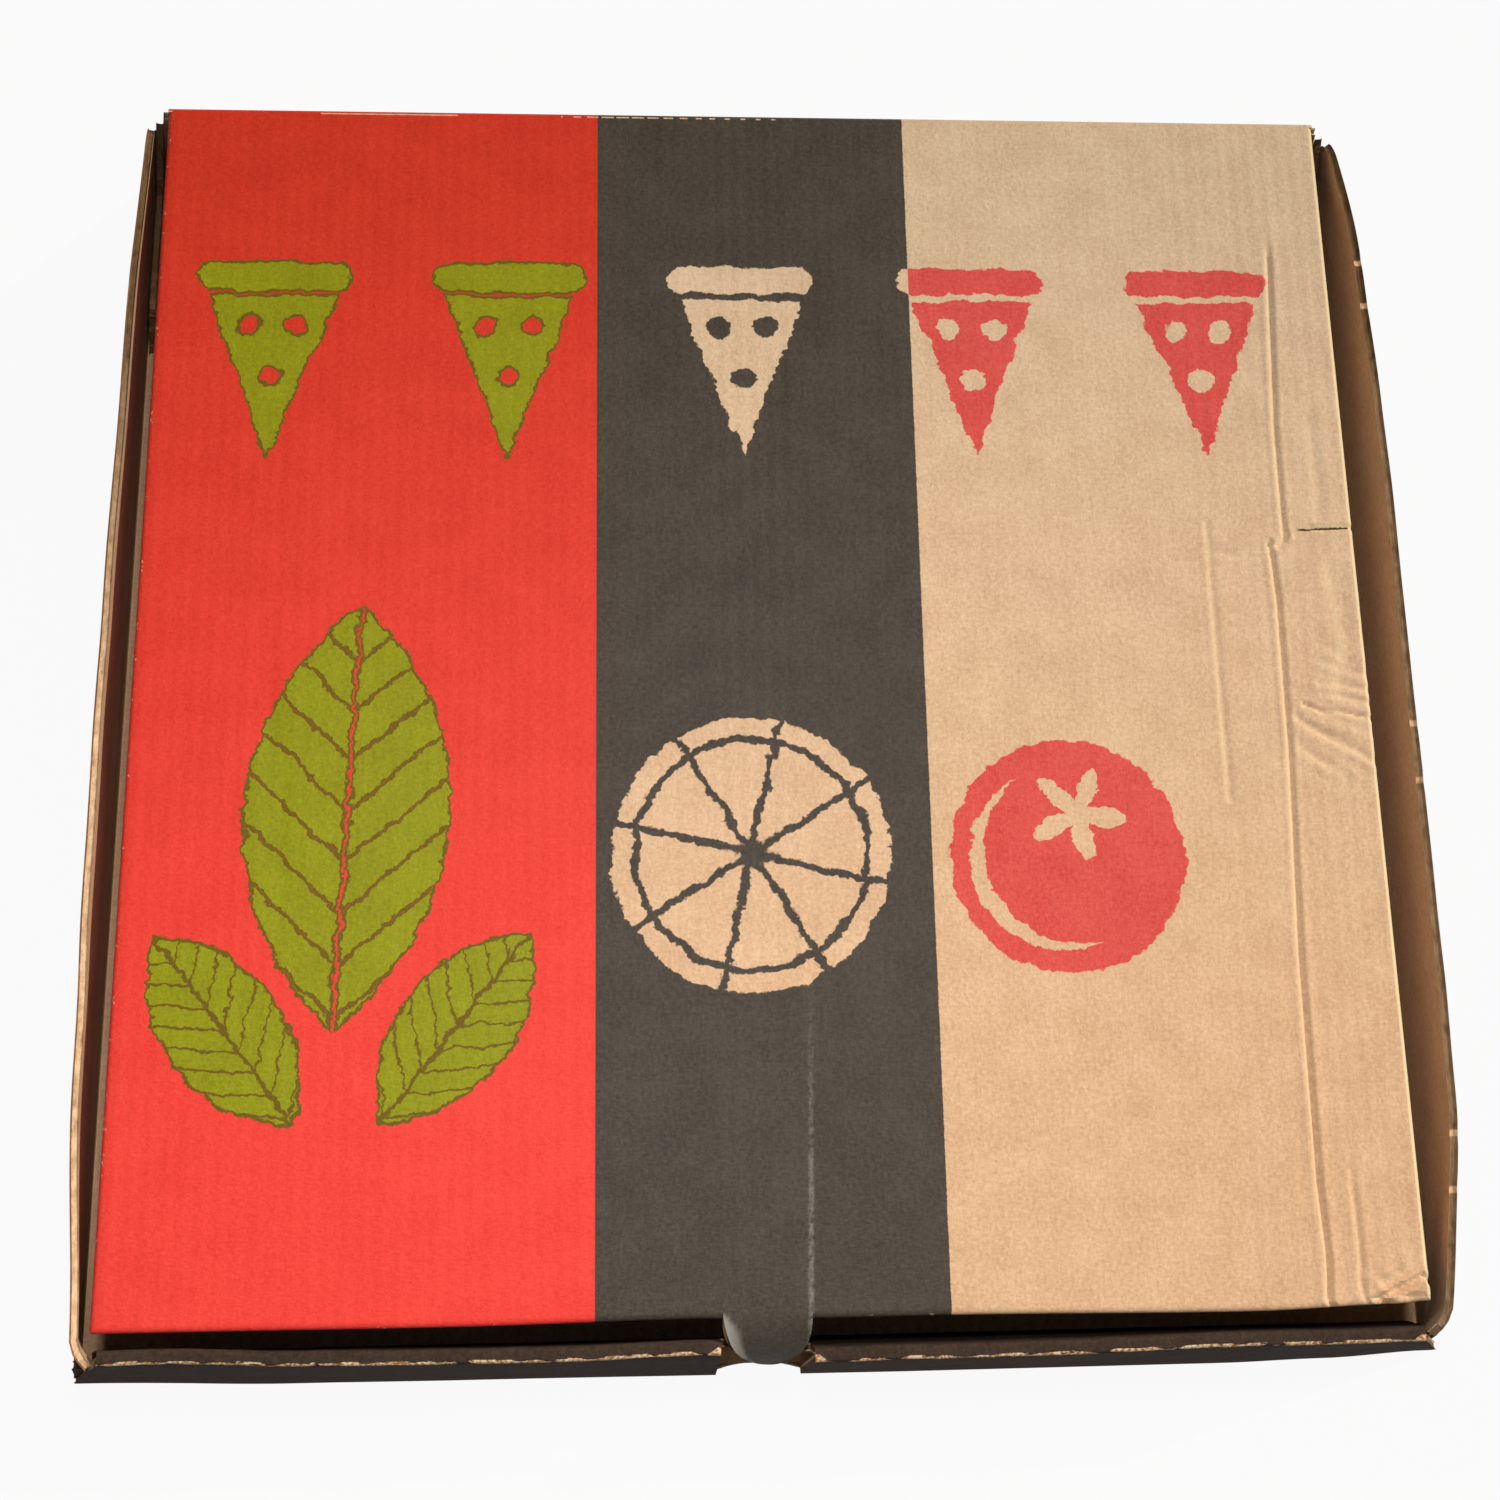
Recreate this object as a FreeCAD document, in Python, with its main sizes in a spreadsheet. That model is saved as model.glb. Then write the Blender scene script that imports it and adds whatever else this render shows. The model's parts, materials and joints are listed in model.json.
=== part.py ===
import FreeCAD, Part
import os
import re
import Sketcher

# Folding pizza box of fine-fluted board: a tray with leaning walls and a hinged lid.
# The origin is the middle of the base's underside, the box's front faces -Y and +Z is up.

doc = FreeCAD.newDocument("pizza_box")
sheet = doc.addObject("Spreadsheet::Sheet", "Sizes")

# Bow of a quarter arc as a share of its radius, 1 - cos(45 degrees)
quarterBow = 0.2929

# Sizes in millimetres and degrees that can each be changed alone
drivingSizes = [
    ("board", 1.5, "thickness of the fluted board"),
    ("base_width", 280, "base, left to right along the outer creases"),
    ("base_depth", 273, "base, front to back along the outer creases"),
    ("back_height", 38.2, "hinge crease above the table"),
    ("front_height", 38.8, "top of the rolled-over front wall"),
    ("side_height", 39, "top edge of the side walls"),
    ("end_lean", 12.2, "inward lean of the back wall and of the front wall's outer leaf"),
    ("inner_lean", 8, "lean of the front wall's inner leaf"),
    ("side_lean", 14.9, "inward lean of the side walls at their ends"),
    ("left_bow", 2.4, "outward bow of the left wall's top edge"),
    ("right_bow", 5, "outward bow of the right wall's top edge"),
    ("side_corner", 7, "rounding of the side walls' rear top corners"),
    ("rollover_width", 3.6, "top of the front wall, crease to crease"),
    ("rollover_radius", 1, "rounding of the front wall's two top creases"),
    ("fold_clearance", 0.25, "gap between layers that lie against each other"),
    ("front_flap_length", 44, "corner flaps inside the front wall, along the wall"),
    ("front_flap_height", 21, "corner flaps inside the front wall, above the table"),
    ("front_flap_taper", 9, "slant of the free end of these flaps"),
    ("rear_flap_length", 46, "corner flaps inside the side walls, along the wall"),
    ("rear_flap_height", 15, "low stretch of these flaps, above the table"),
    ("rear_flap_slope", 15, "run of the slanted edge from the hinge corner down"),
    ("rear_flap_taper", 5, "slant of the free end of these flaps"),
    ("tab_length", 32, "locking tabs of the inner leaf"),
    ("tab_spacing", 140, "locking tabs, middle to middle"),
    ("notch_width", 17.5, "notch in the front wall for the lid's tongue"),
    ("notch_depth", 12, "notch in the inner leaf, below the front wall's top"),
    ("latch_offset", -1.2, "middle of the notch and tongue, from the box's middle"),
    ("arch_rise", 1.9, "arch that the notch leaves in the base's front edge"),
    ("lid_clearance", 0.3, "lid's underside above the back wall's top"),
    ("hinge_gap", 0.8, "lid's rear edge in front of the hinge line"),
    ("front_gap", 2.95, "lid's front edge behind the front wall"),
    ("side_gap", 4.6, "lid's side edges inside the side walls' top corners"),
    ("lid_radius", 0.8, "rounding of the lid's folded edges"),
    ("dust_flap_depth", 28, "side flaps hanging from the lid"),
    ("dust_flap_setback", 7, "side flaps' ends from the lid's ends"),
    ("dust_flap_taper", 9, "slant of the side flaps' ends"),
    ("tuck_flap_depth", 24, "front flap hanging from the lid"),
    ("tuck_flap_setback", 6, "front flap's ends from the lid's sides"),
    ("tuck_flap_taper", 8, "slant of the front flap's ends"),
    ("tongue_width", 16.7, "closing tongue at its root"),
    ("tongue_tip", 8, "closing tongue at its end"),
    ("tongue_radius", 8.4, "curl of the tongue's top face"),
    ("tongue_turn", 68, "angle through which the tongue curls"),
    ("tongue_tail", 3.2, "straight end of the tongue"),
    ("tongue_slot", 13, "height that the tongue leaves open in the front flap"),
]

# Places worked out from the sizes above
workedOut = [
    ("leaf", "=board / cos(end_lean)", "outer leaf and back wall, measured level"),
    ("side_leaf", "=board / cos(side_lean)", "side wall, measured level"),
    ("inner_leaf", "=board / cos(inner_lean)", "inner leaf, measured level"),
    ("half_width", "=base_width / 2", "side crease from the middle"),
    ("half_depth", "=base_depth / 2", "front and back creases from the middle"),
    ("hinge_line", "=half_depth - back_height * tan(end_lean)", "hinge crease"),
    ("top_half", "=half_width - side_height * tan(side_lean)", "side walls' top corners"),
    ("roll_front", "=-half_depth + front_height * tan(end_lean)", "front wall's outer top crease"),
    ("roll_back", "=roll_front + rollover_width", "front wall's inner top crease"),
    ("inner_foot", "=roll_back - front_height * tan(inner_lean)", "inner leaf's inner face at the table"),
    ("lid_under", "=back_height + lid_clearance", "lid's underside"),
    ("lid_back", "=hinge_line - hinge_gap", "lid's rear edge"),
    ("lid_front", "=roll_back + front_gap", "lid's front edge"),
    ("lid_half", "=top_half - side_gap", "lid's side edges from the middle"),
]

for row, (alias, value, meaning) in enumerate(drivingSizes + workedOut, start=1):
    sheet.set(f"A{row}", meaning)
    sheet.set(f"B{row}", str(value))
    sheet.setAlias(f"B{row}", alias)
doc.recompute()
aliases = {alias for alias, value, meaning in drivingSizes + workedOut}


# A formula in plain words, with each size tied to its cell
def tied(formula):
    return re.sub(r"[a-z]+(_[a-z]+)*", lambda word: sheetName(word.group(0)), formula)


def sheetName(word):
    return f"Sizes.{word}" if word in aliases else word


def number(holder, formula):
    value = holder.evalExpression(tied(formula))
    return getattr(value, "Value", value)


# A sketch on one of the body's own planes, moved off it or tilted about its first axis
def sketchOn(body, name, role, moves=None, tilt=None):
    plane = [feature for feature in body.Origin.OriginFeatures if feature.Role == role][0]
    sketch = body.newObject("Sketcher::SketchObject", name)
    sketch.AttachmentSupport = [(plane, "")]
    sketch.MapMode = "FlatFace"
    if tilt:
        sketch.AttachmentOffset = FreeCAD.Placement(
            FreeCAD.Vector(), FreeCAD.Rotation(FreeCAD.Vector(1, 0, 0), 1))
        sketch.setExpression("AttachmentOffset.Rotation.Angle", tied(tilt))
    for axis, formula in (moves or {}).items():
        sketch.setExpression(f"AttachmentOffset.Base.{axis}", tied(formula))
    return sketch


# A closed outline through corners given as formulas. A third formula at a corner bows
# the edge that leaves it by that much, to the right of the way round.
def drawOutline(sketch, corners):
    points = [FreeCAD.Vector(number(sketch, x), number(sketch, y), 0) for x, y, *bow in corners]
    first = sketch.GeometryCount
    ends = []
    for index, corner in enumerate(corners):
        start, end = points[index], points[(index + 1) % len(points)]
        edge = first + index
        if len(corner) > 2:
            along = (end - start).normalize()
            aside = FreeCAD.Vector(along.y, -along.x, 0) * number(sketch, corner[2])
            sketch.addGeometry(Part.Arc(start, (start + end) / 2 + aside, end), False)
        else:
            sketch.addGeometry(Part.LineSegment(start, end), False)
        forward = sketch.getPoint(edge, 1).distanceToPoint(start) < 1e-6
        ends.append((1, 2) if forward else (2, 1))
    for index, (x, y, *bow) in enumerate(corners):
        edge, following = first + index, (index + 1) % len(corners)
        begin, finish = ends[index]
        sketch.addConstraint(Sketcher.Constraint(
            "Coincident", edge, finish, first + following, ends[following][0]))
        for kind, formula in (("DistanceX", x), ("DistanceY", y)):
            place = number(sketch, formula)
            constraint = sketch.addConstraint(Sketcher.Constraint(kind, -1, 1, edge, begin, place))
            sketch.setExpression(f"Constraints[{constraint}]", tied(formula))
        if bow:
            nextX, nextY = corners[following][:2]
            chord = f"(({nextX}) - ({x})) ^ 2 + (({nextY}) - ({y})) ^ 2"
            radius = f"abs(({chord}) / (8 * ({bow[0]})) + ({bow[0]}) / 2)"
            constraint = sketch.addConstraint(
                Sketcher.Constraint("Radius", edge, number(sketch, radius)))
            sketch.setExpression(f"Constraints[{constraint}]", tied(radius))
    return sketch


def rectangle(left, right, low, high):
    return [(left, low), (right, low), (right, high), (left, high)]


# Adds or removes an outline's depth. "inward" runs against the sketch's normal.
def addDepth(body, kind, name, sketch, depth, inward=False, bothWays=False):
    feature = body.newObject(f"PartDesign::{kind}", name)
    feature.Profile = sketch
    feature.setExpression("Length", tied(depth))
    feature.Reversed = inward if kind == "Pad" else not inward
    feature.SideType = "Symmetric" if bothWays else "One side"
    doc.recompute()
    return feature


def addPanel(body, name, sketch, depth="board", inward=False, bothWays=False):
    return addDepth(body, "Pad", name, sketch, depth, inward, bothWays)


# A cut that removes nothing is a fault in its place or direction
def cutAway(body, name, sketch, depth, inward=False, bothWays=False):
    before = body.Shape.Volume
    feature = addDepth(body, "Pocket", name, sketch, depth, inward, bothWays)
    if body.Shape.Volume > before - 1e-3:
        raise RuntimeError(f"{name} cuts nothing")
    return feature


# Side wall: from a straight foot up to a top edge that bows outward
def addSideWall(body, name, side, bow):
    rear = "half_depth - leaf - fold_clearance"
    front = "-half_depth + leaf + fold_clearance"
    rise = "side_height * tan(end_lean)"
    foot = sketchOn(body, f"{name}_foot", "XY_Plane")
    top = sketchOn(body, f"{name}_top", "XY_Plane", {"z": "side_height"})
    outer, inner = f"{side} * half_width", f"{side} * (half_width - side_leaf)"
    drawOutline(foot, [(outer, front), (outer, rear), (inner, rear), (inner, front)])
    outer, inner = f"{side} * top_half", f"{side} * (top_half - side_leaf)"
    drawOutline(top, [
        (outer, f"{front} + {rise}", f"{side} * {bow}"),
        (outer, f"{rear} - {rise}"),
        (inner, f"{rear} - {rise}", f"{-side} * {bow}"),
        (inner, f"{front} + {rise}"),
    ])
    wall = body.newObject("PartDesign::AdditiveLoft", name)
    wall.Profile = foot
    wall.Sections = [top]
    wall.Ruled = True
    doc.recompute()


def buildTray():
    tray = doc.addObject("PartDesign::Body", "tray")
    tray.Label = "tray"
    base = drawOutline(
        sketchOn(tray, "base_outline", "XY_Plane"),
        rectangle("-half_width", "half_width", "-half_depth", "half_depth"))
    addPanel(tray, "base_panel", base)
    addSideWall(tray, "left_wall", -1, "left_bow")
    addSideWall(tray, "right_wall", 1, "right_bow")
    roundSideCorners(tray)
    addBackWall(tray)
    addRearFlaps(tray)
    addFrontWall(tray)
    addFrontFlaps(tray)
    cutNotch(tray)
    return tray


# Rear top corners of both side walls, rounded in the side view
def roundSideCorners(tray):
    top = "side_height"
    rear = "half_depth - leaf - fold_clearance - side_height * tan(end_lean)"
    corner = sketchOn(tray, "side_corner_outline", "YZ_Plane")
    drawOutline(corner, [
        (f"{rear} - side_corner", top, f"-{quarterBow} * side_corner"),
        (f"{rear} + side_corner * tan(end_lean)", f"{top} - side_corner"),
        (f"{rear} + side_corner", f"{top} - side_corner"),
        (f"{rear} + side_corner", f"{top} + board"),
        (f"{rear} - side_corner", f"{top} + board"),
    ])
    cutAway(tray, "side_corner_cut", corner, "base_width", bothWays=True)


# Back wall, as wide as the corner flaps' folds leave it
def addBackWall(tray):
    foot = "half_width - side_leaf - fold_clearance"
    top = "top_half - side_leaf - fold_clearance"
    low, rise = "board * tan(end_lean)", "back_height / cos(end_lean)"
    wall = sketchOn(tray, "back_wall_outline", "XZ_Plane", {"z": "-half_depth"}, "end_lean")
    drawOutline(wall, [(f"-({foot})", low), (foot, low), (top, rise), (f"-({top})", rise)])
    addPanel(tray, "back_wall", wall)


# Flaps folded forward from the back wall's ends, leaning against the side walls' inner faces
def addRearFlaps(tray):
    fold = "half_depth - leaf"
    slant = "rear_flap_height / cos(side_lean)"
    peak = "back_height / cos(side_lean)"
    lean = "back_height * tan(end_lean)"
    low = "board * tan(side_lean)"
    for name, side in (("left_rear_flap", -1), ("right_rear_flap", 1)):
        flap = sketchOn(tray, f"{name}_outline", "YZ_Plane",
                        {"z": f"{side} * (half_width - side_leaf - fold_clearance)"},
                        f"{-side} * side_lean")
        drawOutline(flap, [
            (f"{fold} - rear_flap_length", low),
            (fold, low),
            (f"{fold} - {lean}", peak),
            (f"{fold} - {lean} - rear_flap_slope", slant),
            (f"{fold} - rear_flap_length + rear_flap_taper", slant),
        ])
        addPanel(tray, name, flap, inward=side > 0)


# Front wall rolled over: outer leaf, narrow top strip, inner leaf and its locking tabs
def addFrontWall(tray):
    foot = "half_width"
    top = "top_half - side_gap - fold_clearance"
    low, rise = "board * tan(end_lean)", "(front_height - board / 2) / cos(end_lean)"
    outer = sketchOn(tray, "outer_leaf_outline", "XZ_Plane", {"z": "half_depth"}, "-end_lean")
    drawOutline(outer, [(f"-{foot}", low), (foot, low), (top, rise), (f"-({top})", rise)])
    addPanel(tray, "outer_leaf", outer, inward=True)

    strip = sketchOn(tray, "top_strip_section", "YZ_Plane")
    low, high = "(front_height - board)", "front_height"
    bend = "(front_height - rollover_radius)"
    drawOutline(strip, [
        (f"-half_depth + {low} * tan(end_lean)", low),
        (f"inner_foot + {low} * tan(inner_lean)", low),
        (f"inner_foot + {bend} * tan(inner_lean)", bend, f"{quarterBow} * rollover_radius"),
        ("roll_back - rollover_radius", high),
        ("roll_front + rollover_radius", high, f"{quarterBow} * rollover_radius"),
        (f"-half_depth + {bend} * tan(end_lean)", bend),
    ])
    addPanel(tray, "top_strip", strip, f"2 * ({top})", bothWays=True)

    foot = "half_width - side_leaf - board - fold_clearance"
    up = "(front_height - board) / cos(inner_lean)"
    low = "board + fold_clearance"
    inner = sketchOn(tray, "inner_leaf_outline", "XZ_Plane", {"z": "-inner_foot"}, "-inner_lean")
    drawOutline(inner, [(f"-({foot})", low), (foot, low), (top, up), (f"-({top})", up)])
    addPanel(tray, "inner_leaf", inner)

    for name, side in (("left", -1), ("right", 1)):
        middle = f"{side} * tab_spacing / 2"
        slot = sketchOn(tray, f"{name}_slot_outline", "XY_Plane")
        drawOutline(slot, rectangle(
            f"{middle} - tab_length / 2 - fold_clearance", f"{middle} + tab_length / 2 + fold_clearance",
            "inner_foot - inner_leaf - fold_clearance", "inner_foot + 2 * fold_clearance"))
        cutAway(tray, f"{name}_slot", slot, "board")
        tab = sketchOn(tray, f"{name}_tab_outline", "XZ_Plane", {"z": "-inner_foot"}, "-inner_lean")
        drawOutline(tab, rectangle(
            f"{middle} - tab_length / 2", f"{middle} + tab_length / 2", "fold_clearance", "2 * board"))
        addPanel(tray, f"{name}_tab", tab)


# Flaps folded inward from the side walls' front ends, between the front wall's leaves
def addFrontFlaps(tray):
    low, rise = "board * tan(end_lean)", "front_flap_height / cos(end_lean)"
    for name, side in (("left_front_flap", -1), ("right_front_flap", 1)):
        flap = sketchOn(tray, f"{name}_outline", "XZ_Plane",
                        {"z": "half_depth - leaf - fold_clearance"}, "-end_lean")
        drawOutline(flap, [
            (f"{side} * (half_width - side_leaf / 2)", low),
            (f"{side} * (half_width - front_flap_length)", low),
            (f"{side} * (half_width - front_flap_length + front_flap_taper)", rise),
            (f"{side} * (half_width - side_leaf / 2 - front_flap_height * tan(side_lean))", rise),
        ])
        addPanel(tray, name, flap, inward=True)


# Notch for the tongue: all of the outer leaf's height, the top strip and the inner leaf's
# top, and the arch where the cut ends in the base's front edge
def cutNotch(tray):
    left = "latch_offset - notch_width / 2"
    right = "latch_offset + notch_width / 2"
    aboveBase = "board / cos(end_lean) + (board + fold_clearance) * tan(end_lean)"
    outer = sketchOn(tray, "outer_notch_outline", "XZ_Plane", {"z": "half_depth"}, "-end_lean")
    drawOutline(outer, rectangle(left, right, aboveBase, "front_height"))
    cutAway(tray, "outer_notch", outer, "board + fold_clearance", inward=True)

    upper = sketchOn(tray, "inner_notch_outline", "XZ_Plane", {"z": "-roll_back"})
    drawOutline(upper, rectangle(left, right, "front_height - notch_depth", "front_height + board"))
    cutAway(tray, "inner_notch", upper, "3 * rollover_width", bothWays=True)

    arch = sketchOn(tray, "arch_outline", "XY_Plane")
    drawOutline(arch, [(right, "-half_depth", "arch_rise"), (left, "-half_depth")])
    cutAway(tray, "arch", arch, "2 * board")


def buildLid():
    lid = doc.addObject("PartDesign::Body", "lid")
    lid.Label = "lid"
    top = sketchOn(lid, "top_outline", "XY_Plane", {"z": "lid_under"})
    drawOutline(top, rectangle("-lid_half", "lid_half", "lid_front", "lid_back"))
    addPanel(lid, "top_panel", top)
    addDustFlaps(lid)
    addTuckFlap(lid)
    roundFolds(lid)
    addTongue(lid)
    return lid


# Side flaps folded down inside the side walls
def addDustFlaps(lid):
    low = "lid_under - dust_flap_depth"
    for name, side in (("left_dust_flap", -1), ("right_dust_flap", 1)):
        flap = sketchOn(lid, f"{name}_outline", "YZ_Plane", {"z": f"{side} * lid_half"})
        drawOutline(flap, [
            ("lid_front + dust_flap_setback", "lid_under"),
            ("lid_front + dust_flap_setback + dust_flap_taper", low),
            ("lid_back - dust_flap_setback - dust_flap_taper", low),
            ("lid_back - dust_flap_setback", "lid_under"),
        ])
        addPanel(lid, name, flap, inward=side > 0)


# Front flap folded down behind the front wall, open where the tongue is cut out of it
def addTuckFlap(lid):
    low = "lid_under - tuck_flap_depth"
    flap = sketchOn(lid, "tuck_flap_outline", "XZ_Plane", {"z": "-lid_front"})
    drawOutline(flap, [
        ("-lid_half + tuck_flap_setback", "lid_under"),
        ("-lid_half + tuck_flap_setback + tuck_flap_taper", low),
        ("lid_half - tuck_flap_setback - tuck_flap_taper", low),
        ("lid_half - tuck_flap_setback", "lid_under"),
    ])
    addPanel(lid, "tuck_flap", flap, inward=True)
    slot = sketchOn(lid, "tongue_slot_outline", "XZ_Plane", {"z": "-lid_front"})
    drawOutline(slot, rectangle(
        "latch_offset - tongue_width / 2", "latch_offset + tongue_width / 2",
        "lid_under - tongue_slot", "lid_under"))
    cutAway(lid, "tongue_opening", slot, "3 * board", bothWays=True)


# The top panel's three folded edges, rounded as board folds
def roundFolds(lid):
    top = number(sheet, "lid_under + board")
    back = number(sheet, "lid_back")
    folds = []
    for index, edge in enumerate(lid.Shape.Edges, start=1):
        ends = [vertex.Point for vertex in edge.Vertexes]
        onTop = all(abs(end.z - top) < 1e-6 for end in ends)
        onHinge = all(abs(end.y - back) < 1e-6 for end in ends)
        if onTop and not onHinge:
            folds.append(f"Edge{index}")
    unrounded = lid.Tip
    rounding = lid.newObject("PartDesign::Fillet", "folded_edges")
    rounding.Base = (unrounded, folds)
    rounding.setExpression("Radius", tied("lid_radius"))
    doc.recompute()


# Closing tongue: carries on from the top panel, curls down into the notch and narrows
def addTongue(lid):
    turn, tail = "tongue_turn", "tongue_tail"
    high, under = "lid_under + board", "lid_under"
    centre = "(lid_under + board - tongue_radius)"
    outerY = f"lid_front - tongue_radius * sin({turn})"
    outerZ = f"{centre} + tongue_radius * cos({turn})"
    innerY = f"lid_front - (tongue_radius - board) * sin({turn})"
    innerZ = f"{centre} + (tongue_radius - board) * cos({turn})"
    curl = f"(1 - cos({turn} / 2))"
    section = sketchOn(lid, "tongue_section", "YZ_Plane", {"z": "latch_offset"})
    drawOutline(section, [
        ("lid_front + 2 * board", high),
        ("lid_front", high, f"-tongue_radius * {curl}"),
        (outerY, outerZ),
        (f"{outerY} - {tail} * cos({turn})", f"{outerZ} - {tail} * sin({turn})"),
        (f"{innerY} - {tail} * cos({turn})", f"{innerZ} - {tail} * sin({turn})"),
        (innerY, innerZ, f"(tongue_radius - board) * {curl}"),
        ("lid_front", under),
        ("lid_front + 2 * board", under),
    ])
    addPanel(lid, "tongue", section, "tongue_width", bothWays=True)
    reach = f"{outerY} - {tail} * cos({turn}) - board"
    for name, side in (("left", -1), ("right", 1)):
        root = f"latch_offset + {side} * tongue_width / 2"
        taper = sketchOn(lid, f"{name}_taper_outline", "XY_Plane", {"z": "lid_under - tongue_slot"})
        drawOutline(taper, [
            (root, "lid_front", f"{-side} * board"),
            (f"latch_offset + {side} * tongue_tip / 2", reach),
            (f"{root} + {side} * board", reach),
            (f"{root} + {side} * board", "lid_front"),
        ])
        cutAway(lid, f"{name}_taper", taper, "tongue_slot + 2 * board")


def checkDocument(parts):
    for item in doc.Objects:
        if "Invalid" in item.State or "Error" in item.State:
            raise RuntimeError(f"{item.Name} failed: {item.State}")
    for part in parts:
        shape = part.Shape
        if shape.isNull() or not shape.isValid() or len(shape.Solids) != 1:
            raise RuntimeError(f"{part.Label} isn't one valid solid")


parts = [buildTray(), buildLid()]
doc.recompute()
checkDocument(parts)
os.makedirs("parts", exist_ok=True)
for part in parts:
    part.Shape.exportStep(f"parts/{part.Label}.step")
    box = part.Shape.BoundBox
    print(f"{part.Label}: volume {part.Shape.Volume / 1000:.1f} cm3, "
          f"x {box.XMin:.1f} to {box.XMax:.1f}, y {box.YMin:.1f} to {box.YMax:.1f}, "
          f"z {box.ZMin:.1f} to {box.ZMax:.1f}")
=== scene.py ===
import bpy
import json
import math
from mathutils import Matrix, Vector, noise


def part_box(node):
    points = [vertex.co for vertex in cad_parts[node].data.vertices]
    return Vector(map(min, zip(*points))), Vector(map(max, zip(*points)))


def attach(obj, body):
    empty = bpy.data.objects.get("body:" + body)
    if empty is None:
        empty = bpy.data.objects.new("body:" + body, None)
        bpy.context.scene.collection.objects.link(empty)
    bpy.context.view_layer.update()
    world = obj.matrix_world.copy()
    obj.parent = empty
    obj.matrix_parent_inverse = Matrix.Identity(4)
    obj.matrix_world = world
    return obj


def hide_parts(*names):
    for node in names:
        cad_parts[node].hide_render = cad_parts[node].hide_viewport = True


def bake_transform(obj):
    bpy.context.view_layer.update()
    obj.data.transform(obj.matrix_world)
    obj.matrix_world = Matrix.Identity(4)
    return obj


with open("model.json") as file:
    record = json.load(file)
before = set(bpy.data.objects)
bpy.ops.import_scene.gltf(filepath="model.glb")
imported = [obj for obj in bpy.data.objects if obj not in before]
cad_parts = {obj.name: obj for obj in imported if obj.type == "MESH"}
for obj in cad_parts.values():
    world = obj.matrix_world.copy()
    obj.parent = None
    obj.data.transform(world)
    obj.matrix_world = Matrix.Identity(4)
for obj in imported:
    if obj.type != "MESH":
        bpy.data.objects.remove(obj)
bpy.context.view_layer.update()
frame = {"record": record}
mm = 0.001
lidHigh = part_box("lid")[1] / mm
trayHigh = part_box("tray")[1] / mm
hinge = Vector(frame["record"]["behaviour"]["joints"][0]["pos_m"]) / mm

# Fine-fluted (E flute) brown board, in millimetres
board = {
    "thickness": 1.5,
    "liner": 0.28,          # paper on each face
    "groove": 0.35,         # depth that shows between the liners at a cut edge
    "fluteSpacing": 3.33,
    "fibreHeight": 0.11,
    "longestReach": 1.8,    # of the thickness, where a slit ends in a fold
    "smoothAngle": 38,
}

# Papers and inks in plain light, each from its darker to its lighter tone
colours = {
    "kraft": ("#D2A57D", "#ECC39B"),
    "kraftShadedBack": ("#D0B08E", "#E9CEAB"),       # painted shade: darker and greyer towards the back of the lid
    "innerKraft": ("#C6A07B", "#E0BC97"),
    "red": ("#EA392F", "#F9493D"),
    "redShadedBack": ("#CA2E16", "#E03C24"),         # painted shade: darker towards the back of the lid
    "black": ("#3D352C", "#534A40"),
    "outerBlack": ("#382C24", "#4C3D34"),
    "green": ("#868500", "#9C9E08"),
    "redOnKraft": ("#D24640", "#E65F57"),
    "overprint": "#6F5A0C",         # green ink over the edge of the red
    "cutPaper": ("#C9A276", "#F2DBAE"),
    "worn": ("#A8713F", "#F0D9B4"),
    "wornAndHighlight": "#918B83",            # black ink rubbed thin along a crease; also the painted highlight on the tongue's curled edge
    "core": ("#3A2413", "#8E6844"),
    "coreAlong": ("#6E4D30", "#A07850"),      # where the flutes run along the edge
    "crushedRim": ("#B4875C", "#F0C9A0"),
    # painted shade on the side walls' top edges
    "shadedRim": ("#442E16", "#74542F"),
    # the split in the liner: its own fibres, darkened with painted shade
    "crack": "#46301F",
}


def linear(code):
    parts = [int(code[start:start + 2], 16) / 255 for start in (1, 3, 5)]
    return [part / 12.92 if part <= 0.04045 else ((part + 0.055) / 1.055) ** 2.4
            for part in parts] + [1]


# Adds a shader node with its settings and links; a kind such as Math.ADD names its operation too
def addNode(tree, kind, inputs=None, output=0):
    kind, dot, operation = kind.partition(".")
    node = tree.nodes.new("ShaderNode" + kind)
    if operation:
        node.operation = operation
    for key, value in (inputs or {}).items():
        if isinstance(value, bpy.types.NodeSocket):
            tree.links.new(value, node.inputs[key])
        elif isinstance(key, str) and hasattr(node, key):
            setattr(node, key, value)
        else:
            node.inputs[key].default_value = value
    return node.outputs[output]


def newTree(name):
    material = bpy.data.materials.new(name)
    material.use_nodes = True
    return material, material.node_tree, material.node_tree.nodes["Principled BSDF"]


# The piece's own place in millimetres, and its x, y and z
def millimetres(tree):
    metres = addNode(tree, "TexCoord", output=3)
    place = addNode(tree, "Mapping", {"Vector": metres, "Scale": (1000, 1000, 1000)})
    parts = addNode(tree, "SeparateXYZ", {0: place}).node.outputs
    return place, parts[0], parts[1], parts[2]


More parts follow.
